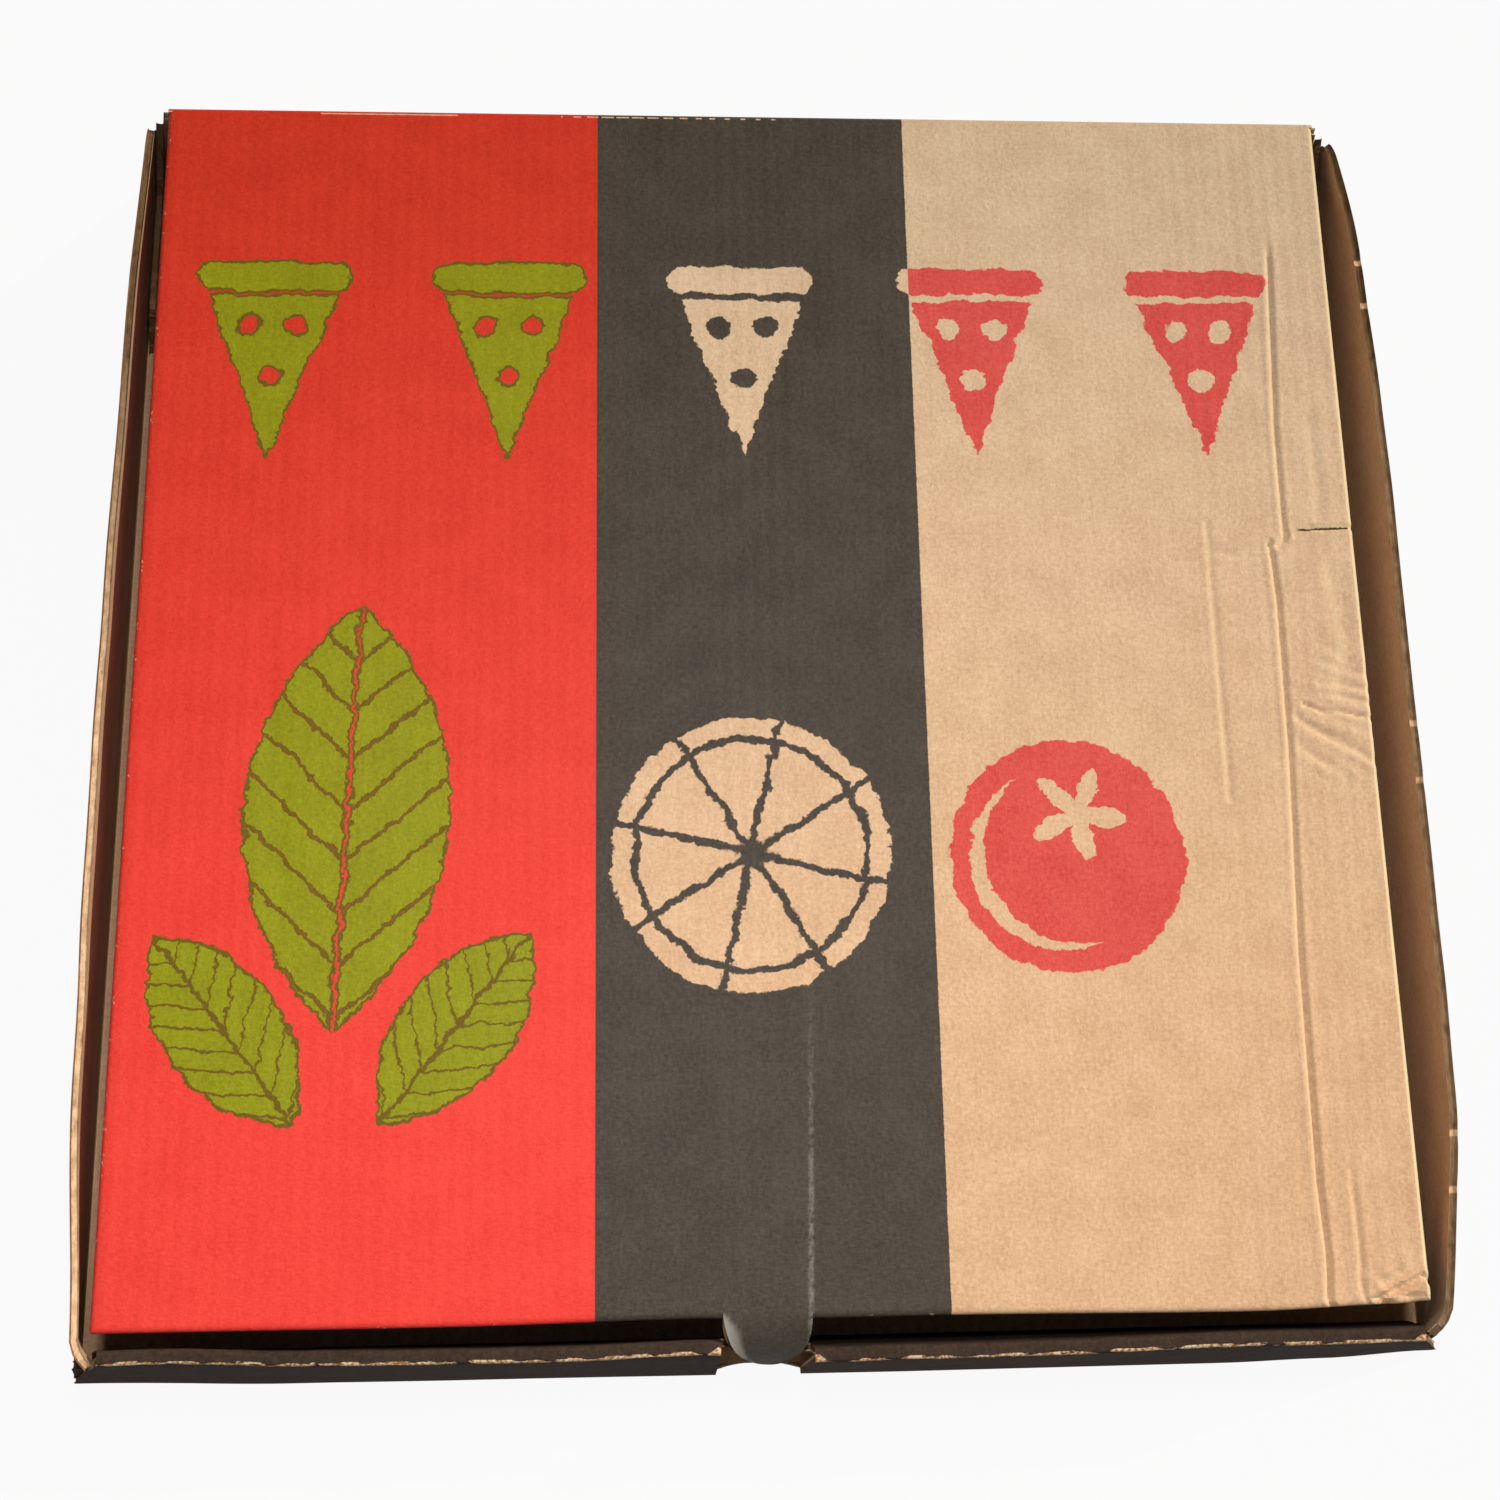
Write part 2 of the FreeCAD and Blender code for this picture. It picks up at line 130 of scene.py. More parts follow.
# Testliner: fibres 0.5 mm thick lie mostly along and across the sheet, with faint clouds
def paperGrain(tree, place):
    crossed = addNode(tree, "Mapping", {"Vector": place, "Scale": (0.85, 1.75, 1.4)})
    lengthwise = addNode(tree, "Mapping", {"Vector": place, "Scale": (1.5, 0.7, 1.4)})
    crossed = addNode(tree, "TexNoise", {"Vector": crossed, "Scale": 1, "Detail": 3, "Roughness": 0.75})
    lengthwise = addNode(tree, "TexNoise", {"Vector": lengthwise, "Scale": 1, "Detail": 2,
                                            "Roughness": 0.7})
    clouds = addNode(tree, "TexNoise", {"Vector": place, "Scale": 0.12, "Detail": 1})
    fibres = addNode(tree, "Math.ADD", {0: crossed, 1: lengthwise})
    total = addNode(tree, "Math.MULTIPLY_ADD", {0: clouds, 1: 0.45, 2: fibres})
    grain = addNode(tree, "MapRange", {"Value": total, "From Min": 0.93, "From Max": 1.52})
    return grain, crossed


# The flutes under the liner, 3.33 mm apart along the board
def flutes(tree, x):
    turns = addNode(tree, "Math.MULTIPLY", {0: x, 1: 2 * math.pi / board["fluteSpacing"]})
    return addNode(tree, "Math.SINE", {0: turns})


# Lays colours over the first one, each as far as its share says
def laid(tree, colour, *layers):
    for share, over in layers:
        colour = addNode(tree, "Mix", {"data_type": "RGBA", 0: share, 6: colour, 7: over}, output=2)
    return colour


# A paper or an ink from its two tones
def tone(tree, pair, grain):
    return laid(tree, linear(pair[0]), (grain, linear(pair[1])))


# Height in millimetres of fibres and flutes
def paperHeight(tree, fibres, waves, fluteHeight):
    low = addNode(tree, "Math.MULTIPLY", {0: waves, 1: fluteHeight})
    return addNode(tree, "Math.MULTIPLY_ADD", {0: fibres, 1: board["fibreHeight"], 2: low})


# How deep a place lies inside a disc, in millimetres
def discDepth(tree, place, centre, radius):
    away = addNode(tree, "VectorMath.DISTANCE", {0: place, 1: (*centre, 0)}, output=1)
    return addNode(tree, "Math.SUBTRACT", {0: radius, 1: away})


# Joins values one after another with the same operation
def joined(tree, operation, first, *others):
    for other in others:
        first = addNode(tree, operation, {0: first, 1: other})
    return first


# How far a value lies inside the band round zero: nothing past the outer limit, most of it at the inner
def nearZero(tree, value, outer, inner, most=1):
    away = addNode(tree, "Math.ABSOLUTE", {0: value})
    return addNode(tree, "MapRange", {"Value": away, "From Min": outer, "From Max": inner,
                                      "To Max": most})


# Gives a material its colour, its height (distance is that of a full step) and its dullness
def dress(tree, colour, height, distance, roughness, specular=0.5):
    shader = tree.nodes["Principled BSDF"]
    bump = addNode(tree, "Bump", {"Strength": 1, "Distance": distance, "Height": height})
    tree.links.new(colour, shader.inputs["Base Color"])
    tree.links.new(bump, shader.inputs["Normal"])
    shader.inputs["Roughness"].default_value = roughness
    shader.inputs["Specular IOR Level"].default_value = specular


# A pointed leaf between two arcs, with a bare midrib and side veins
def leafDepth(tree, place, middle, length, width, turn):
    radius = (length ** 2 + width ** 2) / (4 * width)
    along = (math.cos(math.radians(turn)), math.sin(math.radians(turn)))
    across = (-along[1], along[0])
    offset = radius - width / 2
    halves = [discDepth(tree, place, (middle[0] + side * across[0] * offset,
                                      middle[1] + side * across[1] * offset), radius)
              for side in (-1, 1)]
    fromMiddle = addNode(tree, "VectorMath.SUBTRACT", {0: place, 1: (*middle, 0)})
    sideways = addNode(tree, "VectorMath.DOT_PRODUCT", {0: fromMiddle, 1: (*across, 0)}, output=1)
    sideways = addNode(tree, "Math.ABSOLUTE", {0: sideways})
    lengthways = addNode(tree, "VectorMath.DOT_PRODUCT", {0: fromMiddle, 1: (*along, 0)}, output=1)
    rib = addNode(tree, "Math.SUBTRACT", {0: sideways, 1: width * 0.022})
    swept = addNode(tree, "Math.MULTIPLY_ADD", {0: sideways, 1: -0.9, 2: lengthways})
    vein = addNode(tree, "Math.PINGPONG", {0: swept, 1: length * 0.06})
    vein = addNode(tree, "Math.SUBTRACT", {0: vein, 1: length * 0.007})
    return joined(tree, "Math.MINIMUM", *halves, rib, vein)


# A round cut into eight, with a line inside its crust
def roundDepth(tree, place, centre, radius):
    body = discDepth(tree, place, centre, radius)
    fromMiddle = addNode(tree, "VectorMath.SUBTRACT", {0: place, 1: (*centre, 0)})
    parts = addNode(tree, "SeparateXYZ", {0: fromMiddle}).node.outputs
    angle = addNode(tree, "Math.ARCTAN2", {0: parts[1], 1: parts[0]})
    angle = addNode(tree, "Math.MULTIPLY_ADD", {0: angle, 1: 4, 2: 0.9})
    swing = addNode(tree, "Math.SINE", {0: angle})
    swing = addNode(tree, "Math.ABSOLUTE", {0: swing})
    away = addNode(tree, "Math.SUBTRACT", {0: radius, 1: body})
    cut = addNode(tree, "Math.MULTIPLY", {0: away, 1: swing})
    cut = addNode(tree, "Math.MULTIPLY_ADD", {0: cut, 1: 0.25, 2: -0.7})
    crust = addNode(tree, "Math.SUBTRACT", {0: body, 1: 4.5})
    crust = addNode(tree, "Math.ABSOLUTE", {0: crust})
    crust = addNode(tree, "Math.SUBTRACT", {0: crust, 1: 0.7})
    return joined(tree, "Math.MINIMUM", body, cut, crust)


# A tomato: a disc with a bare star on it and a bare glint
def tomatoDepth(tree, place, centre, radius):
    body = discDepth(tree, place, centre, radius)
    starMiddle = (centre[0] + radius * 0.1, centre[1] + radius * 0.36)
    fromMiddle = addNode(tree, "VectorMath.SUBTRACT", {0: place, 1: (*starMiddle, 0)})
    parts = addNode(tree, "SeparateXYZ", {0: fromMiddle}).node.outputs
    angle = addNode(tree, "Math.ARCTAN2", {0: parts[1], 1: parts[0]})
    angle = addNode(tree, "Math.MULTIPLY_ADD", {0: angle, 1: 5, 2: 0.6})
    swing = addNode(tree, "Math.COSINE", {0: angle})
    reach = addNode(tree, "Math.MULTIPLY_ADD", {0: swing, 1: radius * 0.16, 2: radius * 0.26})
    away = addNode(tree, "VectorMath.LENGTH", {0: fromMiddle}, output=1)
    star = addNode(tree, "Math.SUBTRACT", {0: away, 1: reach})
    inner = discDepth(tree, place, (centre[0] - radius * 0.06, centre[1] - radius * 0.02), radius * 0.78)
    outer = discDepth(tree, place, (centre[0] + radius * 0.08, centre[1] + radius * 0.05), radius * 0.8)
    outside = addNode(tree, "Math.MULTIPLY", {0: outer, 1: -1})
    glint = joined(tree, "Math.MINIMUM", inner, outside)
    glint = addNode(tree, "Math.MULTIPLY", {0: glint, 1: -1})
    return joined(tree, "Math.MINIMUM", body, star, glint)


# A row of five slices that point to the front, each with a crust and two round holes
def sliceRowDepth(tree, x, y):
    pitch, tip, top, half = motifs["slices"]
    beside = addNode(tree, "Math.PINGPONG", {0: x, 1: pitch / 2})
    rise = addNode(tree, "Math.SUBTRACT", {0: y, 1: tip})
    flank = addNode(tree, "Math.MULTIPLY", {0: rise, 1: half / (top - tip)})
    flank = addNode(tree, "Math.SUBTRACT", {0: flank, 1: beside})
    under = addNode(tree, "Math.SUBTRACT", {0: top, 1: y})
    spot = addNode(tree, "CombineXYZ", {0: beside, 1: y})
    holes = [addNode(tree, "Math.MULTIPLY", {0: discDepth(tree, spot, (shift, height), 2.5), 1: -1})
             for shift, height in ((0, tip + 17), (5.0, top - 6.5))]
    body = joined(tree, "Math.MINIMUM", flank, under, *holes)
    over = addNode(tree, "Math.SUBTRACT", {0: beside, 1: half - 0.5})
    over = addNode(tree, "Math.MAXIMUM", {0: over, 1: 0})
    crust = addNode(tree, "CombineXYZ", {0: over, 1: y})
    crust = discDepth(tree, crust, (0, top + 4.6), 3.1)
    row = addNode(tree, "Math.MAXIMUM", {0: body, 1: crust})
    ends = addNode(tree, "Math.ABSOLUTE", {0: x})
    ends = addNode(tree, "Math.SUBTRACT", {0: pitch * 2.5, 1: ends})
    return joined(tree, "Math.MINIMUM", row, ends)


# Print on the lid: three bands, and plain kitchen shapes in the ink that suits each band
motifs = {
    "bandLeft": -33.2, "bandRight": 33.2,
    "leaves": [((-79, -24), 84, 39, 88), ((-101, -66), 44, 21, 128), ((-57, -66), 44, 21, 52)],
    "round": ((0, -33), 27.5),
    "tomato": ((63, -34), 23.5),
    "slices": (49, 51, 86, 13),      # spacing, tips, tops, and half their width
}


# Flexographic print on brown testliner: flat, slightly mottled ink, dull paper between
def lidPrintMaterial():
    material, tree, shader = newTree("flexo_print_on_kraft_liner")
    place, x, y, z = millimetres(tree)
    grain, fibres = paperGrain(tree, place)
    waves = flutes(tree, x)
    flat = addNode(tree, "VectorMath.MULTIPLY", {0: place, 1: (1, 1, 0)})
    coarse = addNode(tree, "TexNoise", {"Vector": flat, "Scale": 0.22, "Detail": 2}, output=1)
    fine = addNode(tree, "TexNoise", {"Vector": flat, "Scale": 0.9, "Detail": 3}, output=1)
    brushed = addNode(tree, "VectorMath.MULTIPLY_ADD", {0: coarse, 1: (3.4, 2.4, 0), 2: flat})
    brushed = addNode(tree, "VectorMath.MULTIPLY_ADD", {0: fine, 1: (2.0, 1.2, 0), 2: brushed})
    parts = addNode(tree, "SeparateXYZ", {0: brushed}).node.outputs
    shapes = [leafDepth(tree, brushed, *leaf) for leaf in motifs["leaves"]]
    shapes.append(roundDepth(tree, brushed, *motifs["round"]))
    shapes.append(tomatoDepth(tree, brushed, *motifs["tomato"]))
    shapes.append(sliceRowDepth(tree, parts[0], parts[1]))
    depth = joined(tree, "Math.MAXIMUM", *shapes)
    inShape = addNode(tree, "MapRange", {"Value": depth, "From Min": -0.12, "From Max": 0.12})
    inTrap = addNode(tree, "MapRange", {"Value": depth, "From Min": -0.75, "From Max": -0.5})

    # Painted shade: the kraft and the red grow darker towards the back of the lid
    backShadeShare = addNode(tree, "MapRange", {"Value": y, "From Min": -80, "From Max": 110})
    kraft, kraftShadedBack = tone(tree, colours["kraft"], grain), tone(tree, colours["kraftShadedBack"], grain)
    kraft = laid(tree, kraft, (backShadeShare, kraftShadedBack))
    black = tone(tree, colours["black"], grain)
    red, redShadedBack = tone(tree, colours["red"], grain), tone(tree, colours["redShadedBack"], grain)
    red = laid(tree, red, (backShadeShare, redShadedBack))
    green = tone(tree, colours["green"], grain)
    onKraft = tone(tree, colours["redOnKraft"], grain)
    red = laid(tree, red, (inTrap, linear(colours["overprint"])))
    edge = addNode(tree, "Math.MULTIPLY_ADD", {0: grain, 1: 0.1, 2: x})
    pastLeft = addNode(tree, "MapRange", {"Value": edge, "From Min": motifs["bandLeft"] - 0.08,
                                          "From Max": motifs["bandLeft"] + 0.08})
    pastRight = addNode(tree, "MapRange", {"Value": edge, "From Min": motifs["bandRight"] - 0.08,
                                           "From Max": motifs["bandRight"] + 0.08})
    ground = laid(tree, red, (pastLeft, black), (pastRight, kraft))
    shown = laid(tree, green, (pastLeft, kraft), (pastRight, onKraft))
    colour = laid(tree, ground, (inShape, shown))

    # Ink rubbed thin along the crease that runs down to the tongue's right edge
    line = addNode(tree, "Math.MULTIPLY_ADD", {0: y, 1: -0.0237, 2: -9.78})
    line = addNode(tree, "Math.ADD", {0: line, 1: x})
    line = nearZero(tree, line, 0.75, 0.2)
    nearFront = addNode(tree, "MapRange", {"Value": y, "From Min": -58, "From Max": -100,
                                           "To Max": 0.75})
    wornAndHighlight = joined(tree, "Math.MULTIPLY", line, nearFront, grain)
    # Painted highlights read from the sheet: pale on the lit flanks of creases, and on the tongue's
    # curled left edge
    paintedHighlight = addNode(tree, "Attribute", {"attribute_name": "wornAndHighlight"}, output=2)
    wornAndHighlight = addNode(tree, "Math.MAXIMUM", {0: wornAndHighlight, 1: paintedHighlight})
    wornAndLitTone = laid(tree, linear(colours["wornAndHighlight"]), (pastRight, linear(colours["cutPaper"][1])))
    colour = laid(tree, colour, (wornAndHighlight, wornAndLitTone))

    # The liner split at the right edge: a dark line, the split's own fibres darkened with painted shade,
    # under a bright lip that is a painted highlight
    split = addNode(tree, "Math.MULTIPLY_ADD", {0: x, 1: -0.05, 2: -27.1})
    split = addNode(tree, "Math.ADD", {0: split, 1: y})
    split = addNode(tree, "Math.MULTIPLY_ADD", {0: grain, 1: 0.22, 2: split})
    splitShade = nearZero(tree, split, 0.3, 0.12)
    lip = addNode(tree, "Math.ADD", {0: split, 1: -0.5})
    lip = nearZero(tree, lip, 0.42, 0.12, 0.9)
    reached = addNode(tree, "MapRange", {"Value": x, "From Min": 112.6, "From Max": 113.6})
    lipReached = addNode(tree, "MapRange", {"Value": x, "From Min": 114.5, "From Max": 117})
    splitShade = addNode(tree, "Math.MULTIPLY", {0: splitShade, 1: reached})
    lip = addNode(tree, "Math.MULTIPLY", {0: lip, 1: lipReached})
    colour = laid(tree, colour, (lip, linear(colours["cutPaper"][1])), (splitShade, linear(colours["crack"])))

    # Pale along the folds: all along the unprinted one, a painted highlight where that fold meets the
    # light; in specks on the printed ones, bared fibres
    sideways = addNode(tree, "Math.ABSOLUTE", {0: x})
    side = addNode(tree, "MapRange", {"Value": sideways, "From Min": lidHigh.x - 1.15,
                                      "From Max": lidHigh.x - 0.85})
    front = addNode(tree, "MapRange", {"Value": y, "From Min": lidHigh.y - 249.2,
                                       "From Max": lidHigh.y - 249.6})
    high = addNode(tree, "MapRange", {"Value": z, "From Min": lidHigh.z - 1.8,
                                      "From Max": lidHigh.z - 1.0})
    fold = addNode(tree, "Math.MAXIMUM", {0: side, 1: front})
    fold = addNode(tree, "Math.MULTIPLY", {0: fold, 1: high})
    specks = addNode(tree, "TexNoise", {"Vector": place, "Scale": 0.8, "Detail": 4, "Roughness": 0.7})
    specks = addNode(tree, "MapRange", {"Value": specks, "From Min": 0.62, "From Max": 0.68,
                                        "To Max": 0.8})
    besideTongue = addNode(tree, "Math.ADD", {0: x, 1: 1.2})
    besideTongue = nearZero(tree, besideTongue, 8.4, 8.9)
    specks = addNode(tree, "Math.MULTIPLY", {0: specks, 1: besideTongue})
    bareAndLit = addNode(tree, "Math.MULTIPLY", {0: side, 1: pastRight})
    bareAndLit = addNode(tree, "Math.MAXIMUM", {0: bareAndLit, 1: specks})
    bareAndLit = addNode(tree, "Math.MULTIPLY", {0: bareAndLit, 1: fold})
    colour = laid(tree, colour, (bareAndLit, linear(colours["cutPaper"][1])))
    dress(tree, colour, paperHeight(tree, fibres, waves, 0.014), mm, 0.84, 0.25)

    inked = addNode(tree, "Math.SUBTRACT", {0: 1, 1: pastRight})
    rough = addNode(tree, "MapRange", {"Value": inked, "To Min": 0.84, "To Max": 0.6})
    tree.links.new(rough, shader.inputs["Roughness"])
    return material


# Black flexographic ink over the tray's outside, cracked to bare paper along the front's top fold
def blackPrintMaterial():
    material, tree = newTree("black_flexo_print")[:2]
    place, x, y, z = millimetres(tree)
    grain, fibres = paperGrain(tree, place)
    colour = tone(tree, colours["outerBlack"], grain)
    bow = addNode(tree, "Attribute", {"attribute_name": "bowed"}, output=2)
    straight = addNode(tree, "Math.ADD", {0: y, 1: bow})
    section = addNode(tree, "CombineXYZ", {1: straight, 2: z})
    away = addNode(tree, "VectorMath.DISTANCE", {0: section, 1: (0, -128.0, 38.5)}, output=1)
    patches = addNode(tree, "Mapping", {"Vector": place, "Scale": (0.2, 0.6, 0.6)})
    patches = addNode(tree, "TexNoise", {"Vector": patches, "Scale": 1, "Detail": 3, "Roughness": 0.55})
    reach = addNode(tree, "MapRange", {"Value": patches, "From Min": 0.38, "From Max": 0.56,
                                       "To Max": 0.64})
    fromNotch = addNode(tree, "Math.ADD", {0: x, 1: 1.2})
    fromNotch = addNode(tree, "Math.ABSOLUTE", {0: fromNotch})
    nearNotch = addNode(tree, "MapRange", {"Value": fromNotch, "From Min": 11.4, "From Max": 9.4,
                                           "To Max": 1.3})
    nearEnd = addNode(tree, "MapRange", {"Value": fromNotch, "From Min": 121.8, "From Max": 124,
                                         "To Max": 1.2})
    reach = joined(tree, "Math.MAXIMUM", reach, nearNotch, nearEnd)
    depth = addNode(tree, "Math.SUBTRACT", {0: reach, 1: away})
    cracked = addNode(tree, "MapRange", {"Value": depth, "From Min": -0.02, "From Max": 0.14})
    fray = addNode(tree, "TexNoise", {"Vector": place, "Scale": 1.6, "Detail": 4})
    fray = addNode(tree, "MapRange", {"Value": fray, "From Min": 0.4, "From Max": 0.6})
    bareAndLit = tone(tree, colours["worn"], fray)
    colour = laid(tree, colour, (cracked, bareAndLit))
    dress(tree, colour, paperHeight(tree, fibres, flutes(tree, x), 0.014), mm, 0.8, 0.04)
    return material


# Bare testliner: brown, dull, cloudy, with the flutes just showing
def kraftMaterial(name, pair):
    material, tree = newTree(name)[:2]
    place, x = millimetres(tree)[:2]
    grain, fibres = paperGrain(tree, place)
    waves = flutes(tree, x)
    shade = addNode(tree, "Math.MULTIPLY_ADD", {0: waves, 1: 0.12, 2: grain})
    dress(tree, tone(tree, pair, shade), paperHeight(tree, fibres, waves, 0.05), mm, 0.88, 0.25)
    return material


# Die-cut edge of the liners: pale torn fibres
def cutPaperMaterial():
    material, tree = newTree("cut_liner_edge")[:2]
    place = millimetres(tree)[0]
    fray = addNode(tree, "TexNoise", {"Vector": place, "Scale": 0.7, "Detail": 5, "Roughness": 0.7})
    fray = addNode(tree, "MapRange", {"Value": fray, "From Min": 0.35, "From Max": 0.62})
    dress(tree, tone(tree, colours["cutPaper"], fray), fray, mm * 0.15, 0.92)
    return material


# Semi-chemical fluting: dark waves seen end on, or the brown flank of one flute along a side wall
def coreMaterial():
    material, tree = newTree("fluted_core")[:2]
    place, x = millimetres(tree)[:2]
    wave = flutes(tree, x)
    crushed = addNode(tree, "Mapping", {"Vector": place, "Scale": (0.2, 0.09, 0.3)})
    crushed = addNode(tree, "TexNoise", {"Vector": crushed, "Scale": 1, "Detail": 4, "Roughness": 0.75})
    crushed = addNode(tree, "MapRange", {"Value": crushed, "From Min": 0.5, "From Max": 0.68})
    share = addNode(tree, "MapRange", {"Value": wave, "From Min": 0.3, "From Max": 0.8, "To Max": 0.7})
    share = addNode(tree, "Math.MAXIMUM", {0: share, 1: crushed})
    sideways = addNode(tree, "Math.ABSOLUTE", {0: x})
    onSide = addNode(tree, "MapRange", {"Value": sideways, "From Min": 125.6, "From Max": 126.2})
    endOn = tone(tree, colours["core"], share)
    along = tone(tree, colours["coreAlong"], crushed)
    colour = laid(tree, endOn, (onSide, along))
    dress(tree, colour, share, mm * 0.3, 0.95)
    return material


rimNicks = [95.1, 84.8, -8.8, -20.7, -90.9, -101.6]      # torn places on the right wall's top edge


# Top edges of the side walls, crushed flat until flutes and liner are one pale band, with painted shade
# towards the back and along the right wall
def crushedRimMaterial():
    material, tree = newTree("crushed_board_edge")[:2]
    place, x, y = millimetres(tree)[:3]
    fray = addNode(tree, "Mapping", {"Vector": place, "Scale": (0.7, 0.3, 0.7)})
    fray = addNode(tree, "TexNoise", {"Vector": fray, "Scale": 1, "Detail": 4, "Roughness": 0.65})
    share = addNode(tree, "MapRange", {"Value": fray, "From Min": 0.3, "From Max": 0.62})
    # Painted shade: darker towards the back and along the right wall, but not at the torn nicks
    shadedShare = addNode(tree, "MapRange", {"Value": y, "From Min": -10, "From Max": 80})
    onRight = addNode(tree, "MapRange", {"Value": x, "From Min": 0, "From Max": 1, "To Max": 0.8})
    shadedShare = addNode(tree, "Math.MAXIMUM", {0: shadedShare, 1: onRight})
    alongRim = addNode(tree, "VectorMath.MULTIPLY", {0: place, 1: (0.02, 1, 0.02)})
    for nick in rimNicks:
        torn = addNode(tree, "VectorMath.DISTANCE", {0: alongRim, 1: (2.6, nick, 0.77)}, output=1)
        torn = addNode(tree, "MapRange", {"Value": torn, "From Min": 0.45, "From Max": 0.8})
        shadedShare = addNode(tree, "Math.MULTIPLY", {0: shadedShare, 1: torn})
    pale, shadedTone = tone(tree, colours["crushedRim"], share), tone(tree, colours["shadedRim"], share)
    colour = laid(tree, pale, (shadedShare, shadedTone))
    dress(tree, colour, fray, mm * 0.2, 0.92)
    return material


print("materials")
lidPrint = lidPrintMaterial()
blackPrint = blackPrintMaterial()
outerKraft = kraftMaterial("kraft_testliner", colours["kraft"])
innerKraft = kraftMaterial("kraft_testliner_inside", colours["innerKraft"])
cutPaper = cutPaperMaterial()
flutedCore = coreMaterial()
crushedRim = crushedRimMaterial()


# Grid lines from start to end, each stretch with its own longest step
def gridLines(*stretches):
    lines = [stretches[0][0]]
    for start, end, step in stretches:
        count = max(1, math.ceil((end - start) / step - 1e-6))
        lines += [start + (end - start) * index / count for index in range(1, count + 1)]
    return lines


# Folds as (radius, turn in degrees, straight run), from runs measured crease to crease
def foldsFrom(creases):
    tangents = [radius * math.tan(math.radians(abs(turn)) / 2) for radius, turn, run in creases]
    tangents.append(0)
    return [(radius, turn, run - tangents[place] - tangents[place + 1])
            for place, (radius, turn, run) in enumerate(creases)]


# Lines across a folded strip: four steps round each fold, then the straight run
def foldLines(folds, step, extra=()):
    lines, start = [], 0
    for radius, turn, run in folds:
        arc = radius * math.radians(abs(turn))
        lines += gridLines((start, start + arc, arc / 4))[1:]
        start += arc
        lines += gridLines((start, start + run, step))[1:]
        start += run
    for line in extra:
        lines = [other for other in lines if abs(other - line) > 0.35] + [line]
    return sorted(lines)


# Where a distance along a folded strip comes to: outwards and up from the first fold
def folded(distance, folds):
    out, up, heading = min(distance, 0), 0, 0
    distance = max(distance, 0)
    for place, (radius, turn, run) in enumerate(folds):
        side = 1 if turn > 0 else -1
        sweep = side * min(distance / radius, math.radians(abs(turn)))
        out += side * radius * (math.sin(heading + sweep) - math.sin(heading))
        up += side * radius * (math.cos(heading) - math.cos(heading + sweep))
        heading += sweep
        distance -= radius * abs(sweep)
        step = distance if place == len(folds) - 1 else min(distance, run)
        out += step * math.cos(heading)
        up += step * math.sin(heading)
        distance -= step
    return out, up


def deselectAll():
    if bpy.context.object and bpy.context.object.mode != "OBJECT":
        bpy.ops.object.mode_set(mode="OBJECT")
    bpy.ops.object.select_all(action="DESELECT")


# A flat grid in millimetres of the unfolded sheet
def flatSheet(name, across, along):
    deselectAll()
    bpy.ops.mesh.primitive_grid_add(
        x_subdivisions=len(across) - 1, y_subdivisions=len(along) - 1, size=1)
    piece = bpy.context.object
    piece.name = name
    piece.data.name = name
    for vertex in piece.data.vertices:
        column = round((vertex.co.x + 0.5) * (len(across) - 1))
        row = round((vertex.co.y + 0.5) * (len(along) - 1))
        vertex.co = (across[column], along[row], 0)
    return piece


# Selects the faces whose middle passes the test, and leaves the piece in edit mode
def pickFaces(piece, wanted):
    bpy.context.view_layer.objects.active = piece
    piece.select_set(True)
    if piece.mode != "EDIT":
        bpy.ops.object.mode_set(mode="EDIT")
    bpy.context.tool_settings.mesh_select_mode = (False, False, True)
    bpy.ops.mesh.select_all(action="DESELECT")
    bpy.ops.object.mode_set(mode="OBJECT")
    for face in piece.data.polygons:
        face.select = wanted(face)
    bpy.ops.object.mode_set(mode="EDIT")


# Parts some faces from the sheet round them, and returns their points
def slitOut(piece, wanted):
    pickFaces(piece, wanted)
    bpy.ops.mesh.split()
    bpy.ops.object.mode_set(mode="OBJECT")
    return {index for face in piece.data.polygons if face.select for index in face.vertices}


def cutOut(piece, unwanted):
    pickFaces(piece, unwanted)
    bpy.ops.mesh.delete(type="FACE")
    bpy.ops.object.mode_set(mode="OBJECT")


# Gives a folded sheet its thickness, and opens its cut edges between the two liners
def makeBoard(piece, materials, flip=False):
    for vertex in piece.data.vertices:
        vertex.co *= mm
    bpy.ops.object.mode_set(mode="EDIT")
    bpy.ops.mesh.select_all(action="SELECT")
    bpy.ops.mesh.remove_doubles(threshold=0.00001)
    if flip:
        bpy.ops.mesh.flip_normals()
    bpy.ops.object.mode_set(mode="OBJECT")
    piece.data.materials.clear()
    for material in materials:
        piece.data.materials.append(material)
    count = len(piece.data.vertices)
    solid = piece.modifiers.new("board", "SOLIDIFY")
    solid.thickness = board["thickness"] * mm
    solid.offset = -1
    solid.use_even_offset = True
    solid.material_offset = 1
    solid.material_offset_rim = 2
    bpy.ops.object.modifier_apply(modifier="board")
    points = piece.data.vertices
    for index in range(count):          # no spikes where a slit ends in a fold
        inward = points[index + count].co - points[index].co
        if inward.length > board["longestReach"] * board["thickness"] * mm:
            points[index + count].co = points[index].co + inward.normalized() * board["thickness"] * mm
    pickFaces(piece, lambda face: face.material_index == 2)
    bpy.ops.mesh.inset(
        thickness=board["liner"] * mm, depth=-board["groove"] * mm, use_even_offset=False)
    piece.active_material_index = 3
    bpy.ops.object.material_slot_assign()
    bpy.ops.object.mode_set(mode="OBJECT")
    deselectAll()
    piece.select_set(True)
    bpy.context.view_layer.objects.active = piece
    bpy.ops.object.shade_smooth_by_angle(angle=math.radians(board["smoothAngle"]))
    return count


